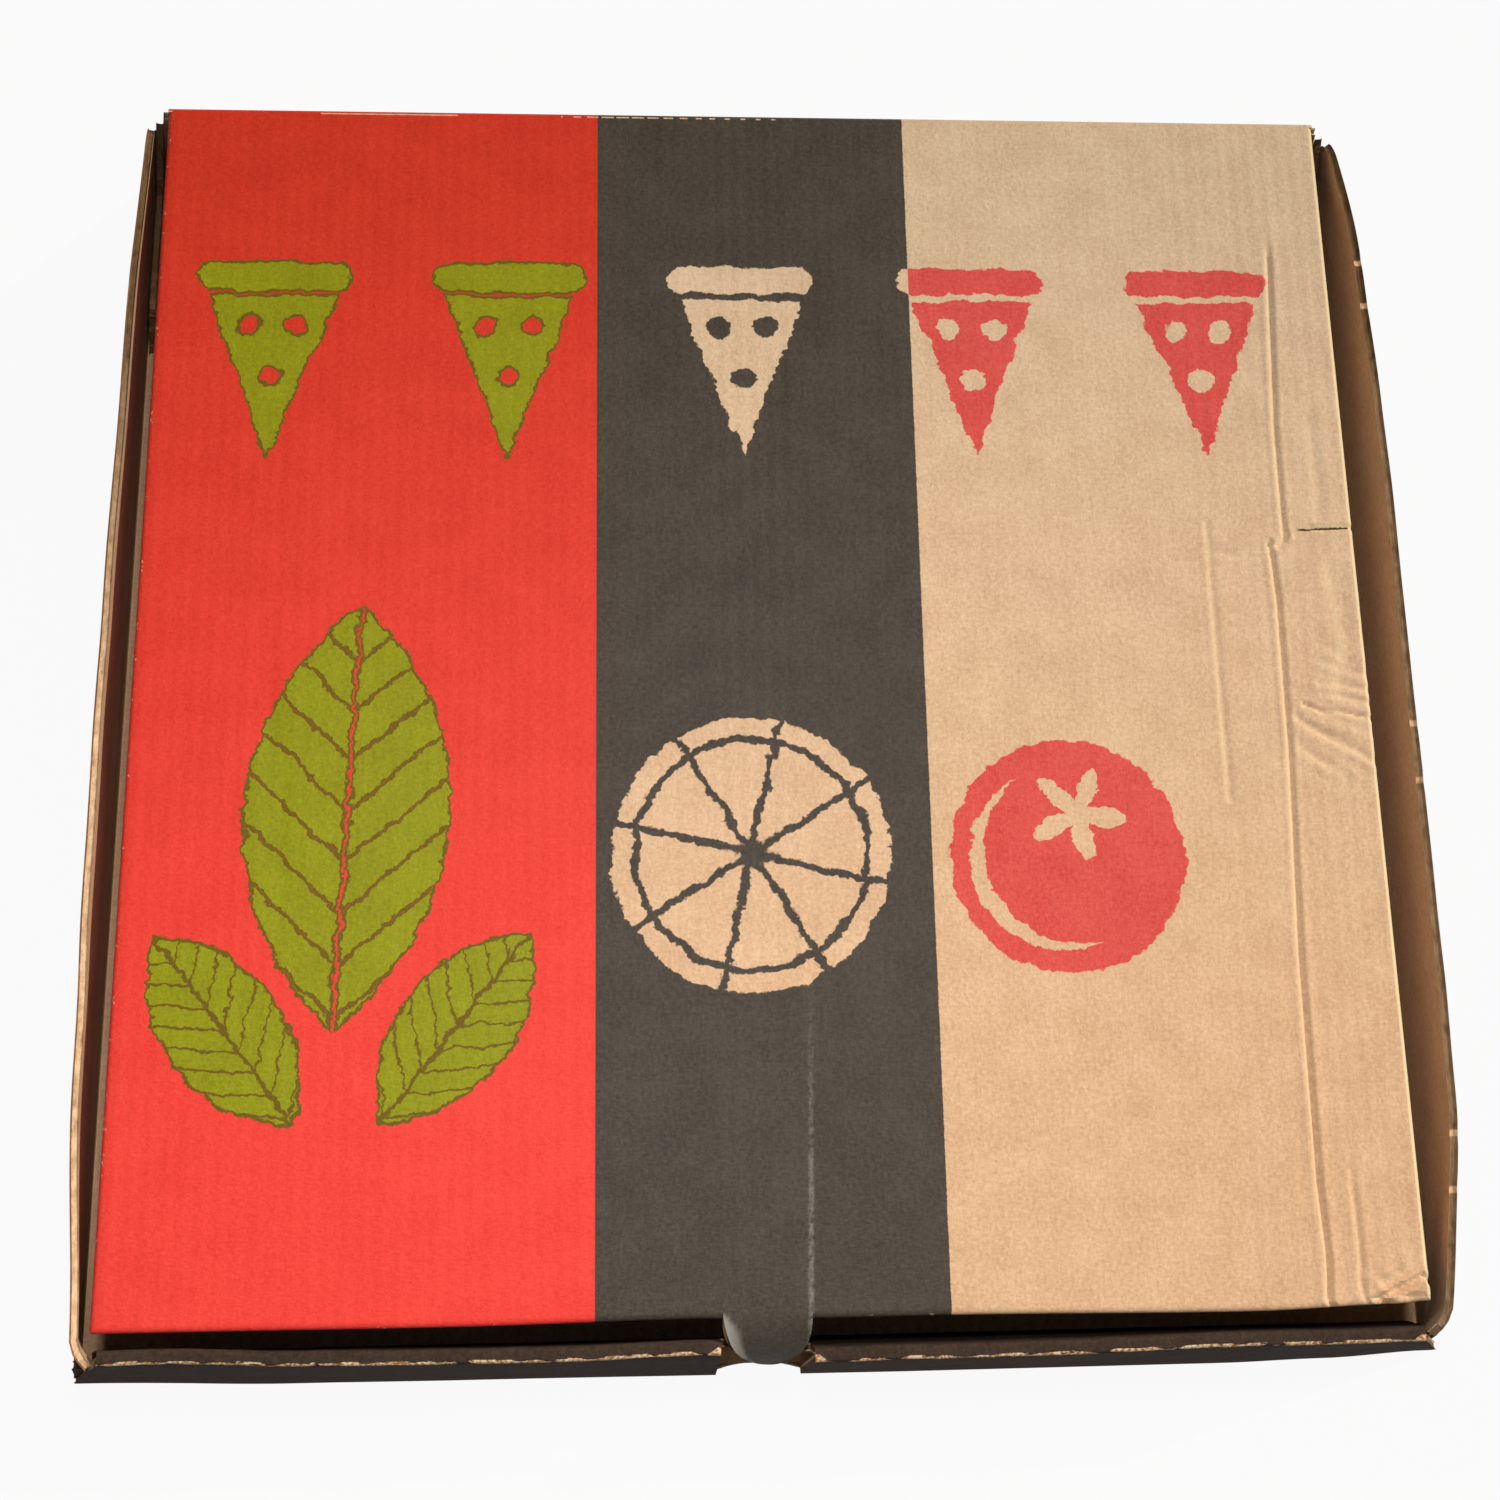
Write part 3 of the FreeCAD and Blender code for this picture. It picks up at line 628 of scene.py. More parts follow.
print("lid")
lid = {
    "foldRadius": 1.2,
    "dustSetback": 7, "dustTaper": 9, "dustBottom": 10.5,
    "tuckSetback": 6, "tuckTaper": 8, "tuckBottom": 14.5,
    "skirt": 1.0,                    # stays at the corners, below the fold
    "tongueLeft": -9.55, "tongueRight": 7.15, "tongueTip": 6.4,
    "tongueRadius": 8.4, "tongueTurn": 66, "tongueTail": 3.4, "tongueSlotBottom": 25.5,
    "tongueEdge": 0.66, "tongueCurl": 4.6,       # where its left edge begins to curl up, and how much
    "tuckPlain": 20,                 # half of the tuck flap's middle, which isn't tapered
    "dentFade": 3,                   # dents die out this far below a fold
    "bowFrom": 50, "bowFull": 120,   # the front's bow grows between these distances from the middle
    "washboard": 0.035,              # height of the flutes that show through
}
lid["half"] = lidHigh.x
lid["back"] = lidHigh.y
lid["front"] = lid["back"] - 249
lid["top"] = lidHigh.z
lid["columns"] = lid["half"] - lid["foldRadius"]      # where the side folds begin
lid["frontRow"] = lid["front"] + lid["foldRadius"]
dustFolds = [(lid["foldRadius"], -90, lid["top"] - lid["foldRadius"] - lid["dustBottom"])]
tuckFolds = [(lid["foldRadius"], -90, lid["top"] - lid["foldRadius"] - lid["tuckBottom"])]
foldArc = lid["foldRadius"] * math.pi / 2
tongueReach = foldArc + lid["top"] - lid["foldRadius"] - lid["tongueSlotBottom"]


def smoothStep(value, low, high):
    share = min(max((value - low) / (high - low), 0), 1)
    return share * share * (3 - 2 * share)


# Distance from a broken line, and the side on which the place lies: -1 for its left, 1 for its right
def awayFrom(x, y, corners):
    best = (1e9, 0)
    for start, end in zip(corners, corners[1:]):
        dx, dy = end[0] - start[0], end[1] - start[1]
        share = min(max(((x - start[0]) * dx + (y - start[1]) * dy) / (dx * dx + dy * dy), 0), 1)
        gapX, gapY = x - start[0] - share * dx, y - start[1] - share * dy
        away = math.hypot(gapX, gapY)
        if away < best[0]:
            best = (away, math.copysign(1, gapX))
    return best


# Creases pressed into the lid: points, width, depth
lidCreases = [
    ([(112.4, 97.2), (110.2, 55.1), (110.1, 30.5), (108.6, 29.4)], 0.62, 0.62),
    ([(106.9, 29.6), (107.5, 17.4), (107.1, -14.5), (105.5, -55.1), (105.0, -99), (105.6, -113),
      (105.0, -120)], 0.62, 0.68),
    ([(106.9, 29.4), (108.6, 28.8), (111, 31)], 0.6, 0.3),
    ([(93.8, 34.0), (93.9, 5), (94.0, -24.8)], 0.7, 0.32),
    ([(112.4, 31.4), (116, 33.0), (119, 32.9), (124.6, 33.3)], 0.5, 0.6),
    ([(95, 28), (101, 26.6), (106, 28.5)], 1.1, 0.22),
    ([(95, 25), (100, 24), (105.5, 25)], 0.9, 0.14),
    ([(110.9, -5.0), (115.1, -6.9), (118.3, -6.7), (123.6, -7.8)], 0.5, 0.48),
    ([(109.2, -7.7), (114.7, -11.5), (121.4, -15.1), (124, -17)], 0.8, 0.36),
    ([(114.5, -0.6), (119, -0.9), (124, -2.1)], 0.6, 0.2),
    ([(114.9, -2.7), (119.5, -3.6), (124, -4.8)], 0.55, 0.24),
    ([(109.3, -13.6), (113, -16.5), (118, -19.9)], 1.0, 0.26),
    ([(116, 3.4), (120, 3.0), (124, 1.2)], 0.7, 0.14),
    ([(119.5, 24), (121.2, 8), (119.4, -1)], 1.7, 0.26),
    ([(117.5, 58), (118.4, 42), (117.6, 36)], 1.4, 0.2),
    ([(-99.4, 13.5), (-97, -12), (-94, -43)], 2.0, 0.14),
    ([(8.6, -50), (6.9, -121.6)], 0.9, 0.2),
    ([(111.6, -99), (112.1, -110.5), (111.6, -118.5), (112.5, -121.4)], 0.6, 0.34),
    ([(113.5, -121.0), (118.9, -119.0), (125.0, -116.6)], 0.6, 0.9),
    ([(116, -117.4), (120.5, -115.6), (124.5, -113.4)], 0.7, 0.35),
    ([(117, -121.8), (120.5, -120.4), (123.5, -120.6)], 0.5, 0.5),
]
# Small crumples: middle, reach across and along, height, grain across and along
lidCrumples = [
    ((117, -2), (8, 24), 0.3, 7.5, 2.3),
    ((101, 22), (7, 12), 0.08, 6, 2.6),
    ((119.5, -116.5), (6, 5), 0.55, 4, 2.6),
    ((110, -70), (12, 40), 0.05, 5, 4),
]


def lidRelief(x, y):
    height = lid["washboard"] * math.cos(2 * math.pi * x / board["fluteSpacing"])
    height += 0.12 * noise.noise(Vector((x / 34, y / 50, 0.3)))
    for middle, reach, size, across, along in lidCrumples:
        nearness = ((x - middle[0]) / reach[0]) ** 2 + ((y - middle[1]) / reach[1]) ** 2
        if nearness < 6:
            height += size * math.exp(-nearness) * noise.noise(
                Vector((x / across, (y + 0.35 * x) / along, middle[0]))) * 1.6
    for corners, width, depth in lidCreases:
        away = awayFrom(x, y, corners)[0]
        if away < 4 * width:
            height -= depth * math.exp(-(away / width) ** 2)
            height += 0.25 * depth * math.exp(-((away - 2.1 * width) / width) ** 2)
    return height


# Painted highlight: pale on the flank of a crease that rises to the left, where the light falls on it
def creaseHighlight(x, y):
    most = 0
    for corners, width, depth in lidCreases:
        away, side = awayFrom(x, y, corners)
        if side < 0 and away < 3 * width and x > 90:
            most = max(most, depth * math.exp(-((away - 0.75 * width) / (0.55 * width)) ** 2))
    return min(most, 0.6)


# A value between the listed places, each given as (place, value)
def between(place, stations):
    for (start, low), (end, high) in zip(stations, stations[1:]):
        if place < end:
            return low + (high - low) * smoothStep(place, start, end)
    return stations[-1][1]


# How far the lid's front edge is bent forward, from left to right
lidFrontBow = [(-125, 0.6), (-58, 0.9), (-14, 0.45), (15, 0.85), (30, 0.85), (91, 1.5), (116, 0.8),
               (125, 0.3)]


def foldLid(piece, tongue):
    for index, vertex in enumerate(piece.data.vertices):
        x, y = vertex.co.x, vertex.co.y
        bow = between(x, lidFrontBow) * smoothStep(-y, lid["bowFrom"], lid["bowFull"])
        if index in tongue:
            vertex.co = tonguePoint(x, lid["frontRow"] - y)
            vertex.co.y -= bow
            continue
        sideways = abs(x) - lid["columns"]
        forwards = lid["frontRow"] - y
        if sideways > 0.001:
            out, up = folded(sideways, dustFolds)
            low = (-up - lid["foldRadius"] - lid["skirt"]) / (lid["top"] - lid["dustBottom"])
            front, back = lid["frontRow"], lid["back"]
            middle = (front + back) / 2
            if y < middle:
                y -= min(out, lid["foldRadius"]) * (middle - y) / (middle - front)
            y = middle + (y - middle) * (1 - max(low, 0) * lid["dustTaper"] / (back - middle))
            dent = lidRelief(math.copysign(lid["columns"], x), vertex.co.y)
            dent *= max(1 + up / lid["dentFade"], 0)
            vertex.co = (math.copysign(lid["columns"] + out, x), y - bow, lid["top"] + up + dent)
        elif forwards > 0.001:
            out, up = folded(forwards, tuckFolds)
            low = (-up - lid["foldRadius"] - lid["skirt"]) / (lid["top"] - lid["tuckBottom"])
            if abs(x) > lid["tuckPlain"]:
                share = (abs(x) - lid["tuckPlain"]) / (lid["columns"] - lid["tuckPlain"])
                move = min(out, lid["foldRadius"]) - max(low, 0) * lid["tuckTaper"]
                x += math.copysign(share * move, x)
            dent = lidRelief(vertex.co.x, lid["frontRow"]) * max(1 + up / lid["dentFade"], 0)
            vertex.co = (x, lid["frontRow"] - out - bow, lid["top"] + up + dent)
        else:
            vertex.co = (x, y - bow, lid["top"] + lidRelief(x, y))


# The tongue carries on from the top, curls down and narrows; its left edge is curled up
def tonguePoint(x, distance):
    folds = [(lid["tongueRadius"], -lid["tongueTurn"], lid["tongueTail"])]
    length = lid["tongueRadius"] * math.radians(lid["tongueTurn"]) + lid["tongueTail"]
    share = distance / tongueReach
    middle = (lid["tongueLeft"] + lid["tongueRight"]) / 2
    half = (lid["tongueRight"] - lid["tongueLeft"]) / 2
    across = (x - middle) / half
    narrow = half + (lid["tongueTip"] / 2 - half) * share ** 2.2
    shorter = 1 - 0.13 * abs(across) ** 2.5 * share
    out, up = folded(length * share * shorter, folds)
    lift = max(-across - lid["tongueEdge"], 0) * lid["tongueCurl"]
    lift *= smoothStep(share, 0, 0.4) * (1 - smoothStep(share, 0.7, 0.95))
    dent = lidRelief(x, lid["frontRow"]) * (1 - smoothStep(share, 0, 0.6))
    return (middle + across * narrow + 0.25 * lift, lid["frontRow"] - lid["foldRadius"] * share - out,
            lid["top"] + up + lift * 0.8 + dent)


def makeLid():
    sides = foldLines(dustFolds, 3.2, [foldArc + lid["skirt"]])
    fronts = foldLines(tuckFolds, 3, [foldArc + lid["skirt"], tongueReach])
    step = board["fluteSpacing"] / 3
    across = [-lid["columns"] - line for line in reversed(sides)]
    across += gridLines(
        (-lid["columns"], lid["tongueLeft"], 1.5 * step), (lid["tongueLeft"], lid["tongueRight"], 0.7),
        (lid["tongueRight"], 91, 1.5 * step), (91, 96, step / 3), (96, 103, step), (103, 114, step / 4),
        (114, lid["columns"], step / 3))
    across += [lid["columns"] + line for line in sides]
    along = [lid["frontRow"] - line for line in reversed(fronts)]
    along += gridLines(
        (lid["frontRow"], lid["front"] + lid["dustSetback"], 0.5),
        (lid["front"] + lid["dustSetback"], -34, 3.2), (-34, -21, 1.3), (-21, 5, 0.5), (5, 24, 1.4),
        (24, 31, 0.8), (31, 35, 0.4), (35, lid["back"] - lid["dustSetback"], 2.8),
        (lid["back"] - lid["dustSetback"], lid["back"], 2.4))
    piece = flatSheet("lid_board", across, along)

    def unwanted(face):
        x, y = face.center.x, face.center.y
        sideways, forwards = abs(x) - lid["columns"], lid["frontRow"] - y
        if sideways > 0.001 and forwards > 0.001:
            return True
        besideDust = y < lid["front"] + lid["dustSetback"] or y > lid["back"] - lid["dustSetback"]
        if sideways > foldArc + lid["skirt"] and besideDust:
            return True
        return forwards > foldArc + lid["skirt"] and abs(x) > lid["half"] - lid["tuckSetback"]

    cutOut(piece, unwanted)
    tongue = slitOut(piece, lambda face: (
        lid["tongueLeft"] < face.center.x < lid["tongueRight"]
        and 0 < lid["frontRow"] - face.center.y < tongueReach))
    # Painted highlights kept on the sheet: on the lit flanks of creases, and on the tongue's curled left
    # edge
    wornAndHighlight = piece.data.attributes.new("wornAndHighlight", "FLOAT", "POINT")
    for index, vertex in enumerate(piece.data.vertices):
        x, y = vertex.co.xy
        if index not in tongue:
            wornAndHighlight.data[index].value = creaseHighlight(x, y)
            continue
        # The tongue's curled left edge gets a painted highlight, pale as if it catches the light
        share = (lid["frontRow"] - y) / tongueReach
        edge = (x - lid["tongueLeft"]) / (lid["tongueRight"] - lid["tongueLeft"])
        width = 0.16 * smoothStep(share, -0.02, 0.3)
        facet = smoothStep(share, 0, 0.06) * (1 - smoothStep(edge, width - 0.02, width + 0.04))
        wornAndHighlight.data[index].value = (0.95 - 2.4 * edge) * facet
    foldLid(piece, tongue)
    makeBoard(piece, [lidPrint, innerKraft, cutPaper, flutedCore])
    for face in piece.data.polygons:
        middle = face.center / mm
        inTongue = lid["tongueLeft"] - 1 < middle.x < lid["tongueRight"] + 1
        if face.material_index == 2 and inTongue and middle.y < lid["front"] + 1 and middle.z > 15:
            face.material_index = 3
    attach(piece, "lid")
    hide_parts("lid")


makeLid()


print("tray")
tray = {
    "halfWidth": trayHigh.x, "halfDepth": trayHigh.y,
    "foldRadius": 1.6,
    "endLean": 12.2, "innerLean": 6.1, "sideLean": 14.9,
    "backHeight": 38.2, "frontHeight": 38.8, "sideHeight": 39,
    "rollWidth": 2.7, "rollRadius": 0.8,
    "leftBow": 2.4, "rightBow": 5.1,
    "rearCorner": 7, "frontCorner": 2,
    "tuckedIn": 3.0, "tuckedLength": 5.5,     # the walls' front ends turn in to the front wall
    "notchLeft": -9.95, "notchRight": 7.55, "notchDepth": 12, "archRise": 1.9,
    "tabMiddle": 70, "tabHalf": 16, "slotFront": -131.7, "slotBack": -129.55,
    "footHalf": 136.7, "topHalf": 123.6,      # half of the rolled-over front wall, below and at its top
    "backFootHalf": 138.2, "backTopHalf": 126.5,
    "footFlare": 2.4,                # the right end's foot stands out
    "pulledIn": 1.4, "lap": 2.2,     # the side walls' front ends: inwards, and over the front wall's end
    "waviness": 0.35,
    "plainHalf": 90,                 # walls get wider or narrower only beyond this
    "gridStep": 3.5,
    "rimFrom": 125.6,                # cut edges beyond this are the side walls' top edges
}
endTurn, sideTurn = 90 + tray["endLean"], 90 + tray["sideLean"]
slant = math.cos(math.radians(tray["endLean"]))
frontFolds = foldsFrom([
    (tray["foldRadius"], endTurn, tray["frontHeight"] / slant),
    (tray["rollRadius"], 180 - endTurn, tray["rollWidth"]),
    (tray["rollRadius"], 90 + tray["innerLean"],
     (tray["frontHeight"] - 0.3) / math.cos(math.radians(tray["innerLean"]))),
])
backFolds = foldsFrom([(tray["foldRadius"], endTurn, tray["backHeight"] / slant)])
sideFolds = foldsFrom([
    (tray["foldRadius"], sideTurn, tray["sideHeight"] / math.cos(math.radians(tray["sideLean"])))])
tray["columns"] = tray["halfWidth"] - tray["foldRadius"] * math.tan(math.radians(sideTurn / 2))
tray["rows"] = tray["halfDepth"] - tray["foldRadius"] * math.tan(math.radians(endTurn / 2))


def runLength(folds, count):
    return sum(radius * math.radians(abs(turn)) + run for radius, turn, run in folds[:count])


frontEnd = runLength(frontFolds, 3)
lipEnd = tray["foldRadius"] * math.radians(endTurn)
stripStart = runLength(frontFolds, 1)
innerStart = runLength(frontFolds, 2) + tray["rollRadius"] * math.radians(90 + tray["innerLean"])
tabStart = frontEnd - 1.5
notchEnd = innerStart + tray["notchDepth"] - 1.1


# How far the side wall's top edge bows out, from front (0) to back (1)
def wallBow(x, place):
    away = abs(2 * place - 1)
    if x < 0:
        return tray["leftBow"] * (1 - away ** 2)
    return tray["rightBow"] * (1 - away ** (6 if place < 0.5 else 4.5))


def sideWallPoint(x, y, distance):
    length = runLength(sideFolds, 1)
    place = (y + tray["rows"]) / (2 * tray["rows"])
    drop = 0
    for corner, edge in ((tray["frontCorner"], y + tray["rows"]),
                         (tray["rearCorner"], tray["rows"] - y)):
        if edge < corner:
            drop += corner - math.sqrt(max(corner ** 2 - (corner - edge) ** 2, 0))
    if x > 0:
        for nick in rimNicks:
            drop += 0.7 * math.exp(-((y * 0.94 - nick) / 0.9) ** 2)
    share = distance / length
    distance -= drop * share
    out, up = folded(distance, sideFolds)
    out += wallBow(x, place) * share ** 1.3
    tucked = max(1 - (y + tray["rows"]) / tray["tuckedLength"], 0)
    out -= tray["tuckedIn"] * tucked ** 2 * share
    out -= tray["pulledIn"] * smoothStep(-y, 88, 132) * share
    out += tray["waviness"] * share * noise.noise(Vector((x / 40, y / 22, 0.5)))
    y *= 1 - max(up, 0) * math.tan(math.radians(tray["endLean"])) / tray["halfDepth"]
    y -= tray["lap"] * share ** 9 * smoothStep(-y, 105, 126)
    return math.copysign(tray["columns"] + out, x), y, max(up, 0)


# A front or back wall gets wider or narrower only towards its ends
def spread(x, half):
    past = abs(x) - tray["plainHalf"]
    if past < 0:
        return x
    growth = (half - tray["plainHalf"]) / (tray["columns"] - tray["plainHalf"])
    return math.copysign(tray["plainHalf"] + past * growth, x)


# How far the front wall is bent forward, from left to right: at its top, and at its foot
wallTopBow = [(-125, -0.9), (-91, -0.5), (-60, 0), (-10, -0.6), (8, 0.9), (30, 0.9), (95, 0.5),
              (138, 0.6)]
wallFootBow = [(-138, -1.1), (-95, 0.1), (-60, 0.3), (8, 0.65), (30, 0.75), (95, 0.75), (115, 0.3),
               (138, -0.9)]


# The point, and how far it is bowed out, which the print's worn crease follows
def frontWallPoint(x, distance):
    out, up = folded(distance, frontFolds)
    share = min(up / tray["frontHeight"], 1)
    flare = tray["footFlare"] * min(distance / lipEnd, 1) * (x > 0)
    foot = tray["halfWidth"] + flare if distance < stripStart + 1 else tray["footHalf"]
    half = foot + (tray["topHalf"] - foot) * share
    half -= max(tray["halfWidth"] - tray["columns"] - out, 0) * (distance < lipEnd)
    ripple = tray["waviness"] * noise.noise(Vector((x / 26, distance / 60, 3.1))) * share
    ripple += (0.4 + 0.7 * (1 - (x / tray["halfWidth"]) ** 2)) * share      # bowed out in the middle
    ripple += 0.12 * noise.noise(Vector((x / 5, distance / 9, 5.2))) * share
    ripple += between(x, wallTopBow) * share
    if distance < stripStart + 1:
        ripple += between(x, wallFootBow) * (1 - share) * min(distance / lipEnd, 1)
    if distance > tabStart + 0.1:
        x += math.copysign(0.4, tray["tabMiddle"] - abs(x)) * math.copysign(1, x)
    return (spread(x, half), -tray["rows"] - out - ripple, max(up, 0)), ripple


def backWallPoint(x, distance):
    out, up = folded(distance, backFolds)
    narrowing = (tray["backTopHalf"] - tray["backFootHalf"]) * min(up / tray["backHeight"], 1)
    half = tray["backFootHalf"] + narrowing
    return spread(x, half), tray["rows"] + out, max(up, 0)


# The lip that the notch leaves in the base's front fold, cut to a low arch
def lipPoint(x, distance):
    middle = (tray["notchLeft"] + tray["notchRight"]) / 2
    away = abs(x - middle) / ((tray["notchRight"] - tray["notchLeft"]) / 2)
    keep = 0.04 + 0.5 * away ** 2.5
    out, up = folded(distance * keep, frontFolds)
    return x, -tray["rows"] - out, up


def makeTray():
    rows, columns = tray["rows"], tray["columns"]
    tabIn, tabOut = tray["tabMiddle"] - tray["tabHalf"], tray["tabMiddle"] + tray["tabHalf"]
    sides = foldLines(sideFolds, 3)
    fronts = foldLines(frontFolds, 3, [notchEnd, tabStart])
    backs = foldLines(backFolds, 3)
    across = [-columns - line for line in reversed(sides)]
    step = tray["gridStep"]
    across += gridLines(
        (-columns, -tabOut, step), (-tabOut, -tabIn, step), (-tabIn, tray["notchLeft"], step),
        (tray["notchLeft"], tray["notchRight"], 1.25), (tray["notchRight"], tabIn, step),
        (tabIn, tabOut, step), (tabOut, columns, step))
    across += [columns + line for line in sides]
    along = [-rows - line for line in reversed(fronts)]
    along += gridLines(
        (-rows, tray["slotFront"], 1.5), (tray["slotFront"], tray["slotBack"], 3),
        (tray["slotBack"], rows - 8, 2.5), (rows - 8, rows, 0.8))
    along += [rows + line for line in backs]
    piece = flatSheet("tray_board", across, along)

    def unwanted(face):
        x, y = face.center.x, face.center.y
        sideways, forwards, backwards = abs(x) - columns, -rows - y, y - rows
        if sideways > 0 and max(forwards, backwards) > 0:
            return True
        inTab = tabIn < abs(x) < tabOut
        if inTab and tray["slotFront"] < y < tray["slotBack"]:
            return True
        inNotch = tray["notchLeft"] < x < tray["notchRight"]
        if inNotch and lipEnd < forwards < notchEnd:
            return True
        return forwards > tabStart and not inTab

    cutOut(piece, unwanted)
    lip = slitOut(piece, lambda face: (
        tray["notchLeft"] < face.center.x < tray["notchRight"]
        and 0 < -rows - face.center.y < lipEnd))
    bowed = piece.data.attributes.new("bowed", "FLOAT", "POINT")
    for index, vertex in enumerate(piece.data.vertices):
        x, y = vertex.co.x, vertex.co.y
        sideways, forwards, backwards = abs(x) - columns, -rows - y, y - rows
        if index in lip:
            vertex.co = lipPoint(x, forwards)
        elif sideways > 0.001:
            vertex.co = sideWallPoint(x, y, sideways)
        elif forwards > 0.001:
            vertex.co, bowed.data[index].value = frontWallPoint(x, forwards)
        elif backwards > 0.001:
            vertex.co = backWallPoint(x, backwards)
    outerPoints = makeBoard(
        piece, [outerKraft, innerKraft, cutPaper, flutedCore, blackPrint, crushedRim], flip=True)
    for face in piece.data.polygons:
        middle = face.center / mm
        if face.material_index == 0 and middle.z > 0.5:
            face.material_index = 4
        elif face.material_index in (2, 3) and middle.z > 25 and abs(middle.x) > tray["rimFrom"]:
            outer = face.material_index == 2 and min(face.vertices) < outerPoints and middle.x < 0
            face.material_index = 3 if outer else 5
    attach(piece, "tray")
    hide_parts("tray")


makeTray()


# A flap as a grid from its free end (0) to its fold (1), and from the table up
def makeFlap(name, place, outside):
    piece = flatSheet(name, gridLines((0, 1, 0.04)), gridLines((0, 1, 0.1)))
    for vertex in piece.data.vertices:
        vertex.co = place(vertex.co.x, vertex.co.y)
    # The cut edges take the core's dark colour on the liners too: painted shade, so the flaps' lit top
    # edges stay dark
    makeBoard(piece, [blackPrint, innerKraft, flutedCore, flutedCore], flip=outside)
    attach(piece, "tray")
    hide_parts("tray")


cornerFlaps = {
    "rearLength": 46, "rearHeight": 15, "rearSlope": 6, "rearTaper": 5,
    "frontLength": 44, "frontHeight": 21, "frontTaper": 9,
    "clearance": 0.25, "low": 0.4,
    "endWall": 1.535, "sideWall": 1.552,      # the leaning walls' thickness, measured level
    "foldInset": 0.8,
}


def rearFlapPoint(side, u, v):
    fold = tray["halfDepth"] - cornerFlaps["endWall"]
    peak = fold - tray["backHeight"] * math.tan(math.radians(tray["endLean"]))
    foot = fold - cornerFlaps["rearLength"] * (1 - u)
    back = foot + (peak - fold) * v * smoothStep(u, 0.6, 1)
    y = back + cornerFlaps["rearTaper"] * v * (1 - smoothStep(u, 0, 0.4))
    slope = smoothStep(u, 1 - cornerFlaps["rearSlope"] / cornerFlaps["rearLength"] - 0.03, 1.02)
    top = cornerFlaps["rearHeight"] + (tray["backHeight"] - 0.6 - cornerFlaps["rearHeight"]) * slope
    z = cornerFlaps["low"] + (top - cornerFlaps["low"]) * v
    level = tray["halfWidth"] - cornerFlaps["sideWall"] - cornerFlaps["clearance"]
    return side * (level - z * math.tan(math.radians(tray["sideLean"]))), y, z


def frontFlapPoint(side, u, v):
    z = cornerFlaps["low"] + (cornerFlaps["frontHeight"] - cornerFlaps["low"]) * v
    free = tray["halfWidth"] - cornerFlaps["frontLength"] + cornerFlaps["frontTaper"] * v
    fold = tray["halfWidth"] - cornerFlaps["foldInset"] - z * math.tan(math.radians(tray["sideLean"]))
    level = tray["halfDepth"] - cornerFlaps["endWall"] - cornerFlaps["clearance"]
    y = -level + z * math.tan(math.radians(tray["endLean"]))
    return side * (free + (fold - free) * u), y, z


for name, side in (("left", -1), ("right", 1)):
    makeFlap(f"{name}_rear_flap", lambda u, v: rearFlapPoint(side, u, v), side < 0)
    makeFlap(f"{name}_front_flap", lambda u, v: frontFlapPoint(side, u, v), side < 0)


print("hinge crease")
hingeCrease = {"half": 125.0, "outer": 1.0, "rows": 6}


def makeHinge():
    section = []
    outerFoot = (hinge.y, hinge.z - 0.3)
    lidTop = (lid["back"], lid["top"])
    for index in range(hingeCrease["rows"] + 1):
        share = index / hingeCrease["rows"]
        bulge = hingeCrease["outer"] * math.sin(math.pi * share) * 0.55
        section.append((outerFoot[0] + (lidTop[0] - outerFoot[0]) * share + bulge,
                        outerFoot[1] + (lidTop[1] - outerFoot[1]) * share + bulge * 0.4))
    section += [(lid["back"] - 0.3, lid["top"]), (lid["back"] - 0.3, lid["top"] - board["thickness"]),
                (lid["back"] - 0.2, hinge.z + 0.1), (hinge.y - board["thickness"], hinge.z),
                (hinge.y - board["thickness"], hinge.z - 0.3)]
    around = len(section)
    piece = flatSheet("hinge_crease", gridLines((-hingeCrease["half"], hingeCrease["half"], 5)),
                      gridLines((0, around, 1)))
    for vertex in piece.data.vertices:
        y, z = section[round(vertex.co.y) % around]
        vertex.co = (vertex.co.x * mm, y * mm, z * mm)
    bpy.ops.object.mode_set(mode="EDIT")
    bpy.ops.mesh.select_all(action="SELECT")
    bpy.ops.mesh.remove_doubles(threshold=0.00001)
    bpy.ops.mesh.select_all(action="DESELECT")
    bpy.ops.mesh.select_mode(type="EDGE")
    bpy.ops.mesh.select_non_manifold()
    bpy.ops.mesh.edge_face_add()
    bpy.ops.mesh.select_all(action="SELECT")
    bpy.ops.mesh.normals_make_consistent(inside=False)
    bpy.ops.object.mode_set(mode="OBJECT")
    piece.data.materials.append(lidPrint)
    piece.data.materials.append(outerKraft)
    for face in piece.data.polygons:          # bare where the crease itself folds, and inside
        middle = face.center / mm
        if middle.z < hinge.z + 0.45 or middle.y < lid["back"] - 0.1:
            face.material_index = 1
    bpy.ops.object.shade_smooth_by_angle(angle=math.radians(60))
    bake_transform(piece)
    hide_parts("lid")


makeHinge()


print("stage, light and camera")
stage = {
    "floor": "#8C8C8C", "floorGlow": 0.9, "glowStrength": 1.04, "backdrop": 0.9,
    "sunStrength": 2.6, "sunAzimuth": 118, "sunElevation": 33, "sunAngle": 1.0,
    "softPlace": (-0.01, 0.0, 0.44), "softAim": (-0.01, -0.4, 0.04),
    "softPower": 1.08, "softSize": 0.05, "skyStrength": 0.13,
    "cameraPlace": (-20.9, -89.8, 370.3), "cameraTurn": (12.97, -2.93, -1.03),
    "lens": 40.8,
}


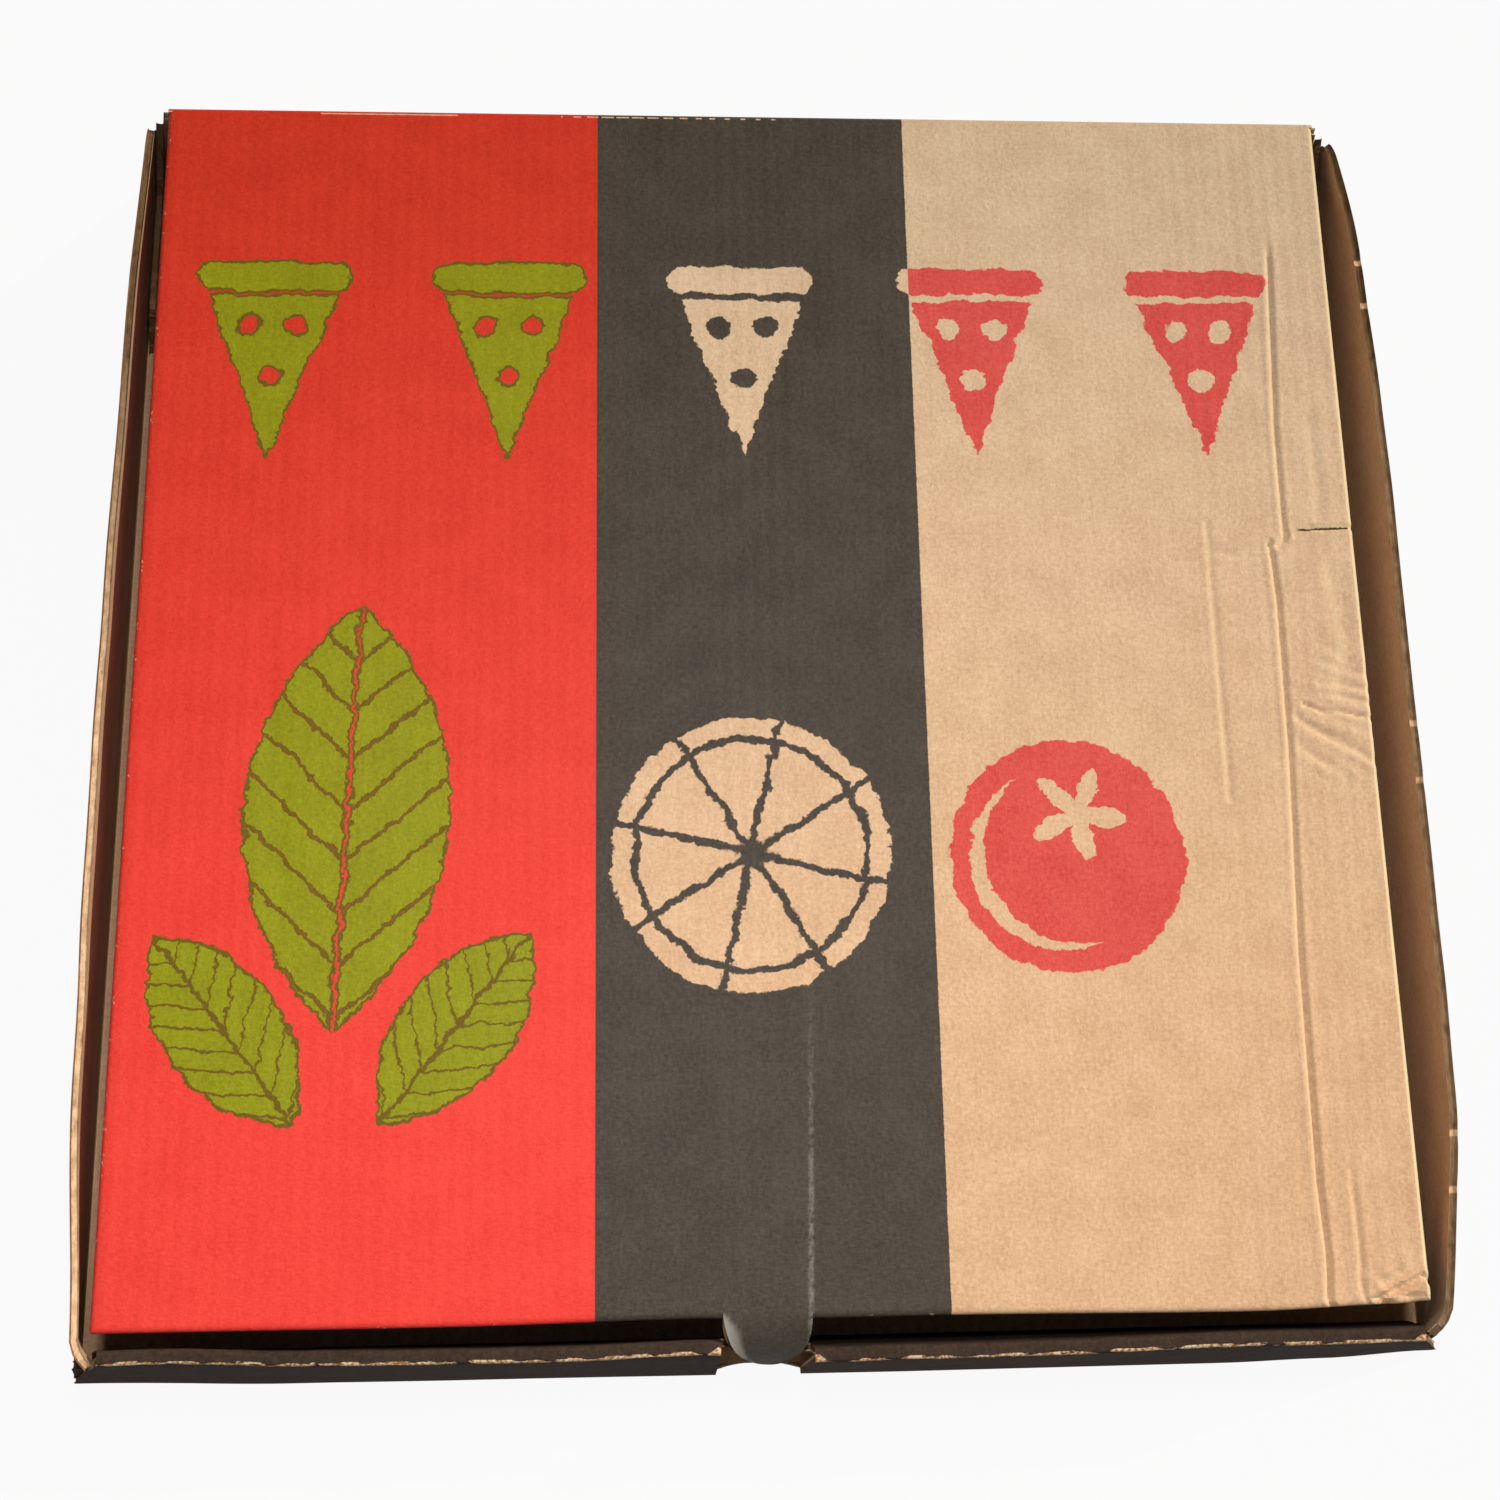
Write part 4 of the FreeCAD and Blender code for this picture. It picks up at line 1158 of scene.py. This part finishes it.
# White paper: the camera sees it nearly white, with the object's shadow still on it
def makeFloor():
    deselectAll()
    bpy.ops.mesh.primitive_plane_add(size=6)
    floor = bpy.context.object
    floor.name = "floor"
    bpy.ops.object.mode_set(mode="EDIT")
    bpy.ops.mesh.select_mode(type="EDGE")
    bpy.ops.mesh.select_all(action="SELECT")
    bpy.ops.mesh.extrude_edges_move(TRANSFORM_OT_translate={"value": (0, 0, stage["backdrop"])})
    bpy.ops.object.mode_set(mode="OBJECT")
    material, tree, shader = newTree("white_paper_backdrop")
    shader.inputs["Base Color"].default_value = linear(stage["floor"])
    shader.inputs["Roughness"].default_value = 0.9
    rays = addNode(tree, "LightPath").node.outputs
    seen = addNode(tree, "Math.MAXIMUM", {0: rays["Is Camera Ray"], 1: rays["Is Glossy Ray"]})
    seen = addNode(tree, "Math.MAXIMUM", {0: seen, 1: rays["Is Transmission Ray"]})
    share = addNode(tree, "Math.MULTIPLY", {0: seen, 1: stage["floorGlow"]})
    glow = addNode(tree, "Emission", {"Color": (1, 1, 1, 1), "Strength": stage["glowStrength"]})
    both = addNode(tree, "MixShader", {0: share, 1: shader.outputs[0], 2: glow})
    tree.links.new(both, tree.nodes["Material Output"].inputs["Surface"])
    floor.data.materials.append(material)


makeFloor()


def makeLights():
    deselectAll()
    azimuth, elevation = math.radians(stage["sunAzimuth"]), math.radians(stage["sunElevation"])
    bpy.ops.object.light_add(type="SUN")
    sun = bpy.context.object
    sun.name = "low_sun_from_the_right"
    sun.data.energy = stage["sunStrength"]
    sun.data.angle = math.radians(stage["sunAngle"])
    sun.data.color = linear("#FFF6EA")[:3]
    toSun = Vector((math.cos(elevation) * math.sin(azimuth), -math.cos(elevation) * math.cos(azimuth),
                    math.sin(elevation)))
    sun.rotation_euler = toSun.to_track_quat("Z", "Y").to_euler()
    bpy.ops.object.light_add(type="AREA", location=stage["softPlace"])
    soft = bpy.context.object
    soft.name = "soft_lamp_above"
    soft.data.energy = stage["softPower"]
    soft.data.size = stage["softSize"]
    soft.rotation_euler = (Vector(stage["softPlace"]) - Vector(stage["softAim"])).to_track_quat(
        "Z", "Y").to_euler()
    world = bpy.data.worlds.new("soft_daylight")
    bpy.context.scene.world = world
    world.use_nodes = True
    background = world.node_tree.nodes["Background"]
    background.inputs["Color"].default_value = linear("#FFFFFF")
    background.inputs["Strength"].default_value = stage["skyStrength"]


def makeCamera():
    camera = bpy.data.cameras.new("camera")
    camera.sensor_width = 36
    camera.lens = stage["lens"]
    camera.clip_start = 0.01
    camera.clip_end = 50
    holder = bpy.data.objects.new("camera", camera)
    bpy.context.scene.collection.objects.link(holder)
    holder.location = Vector(stage["cameraPlace"]) * mm
    holder.rotation_euler = [math.radians(turn) for turn in stage["cameraTurn"]]
    bpy.context.scene.camera = holder


makeLights()
makeCamera()
bpy.context.scene.view_settings.view_transform = "Standard"
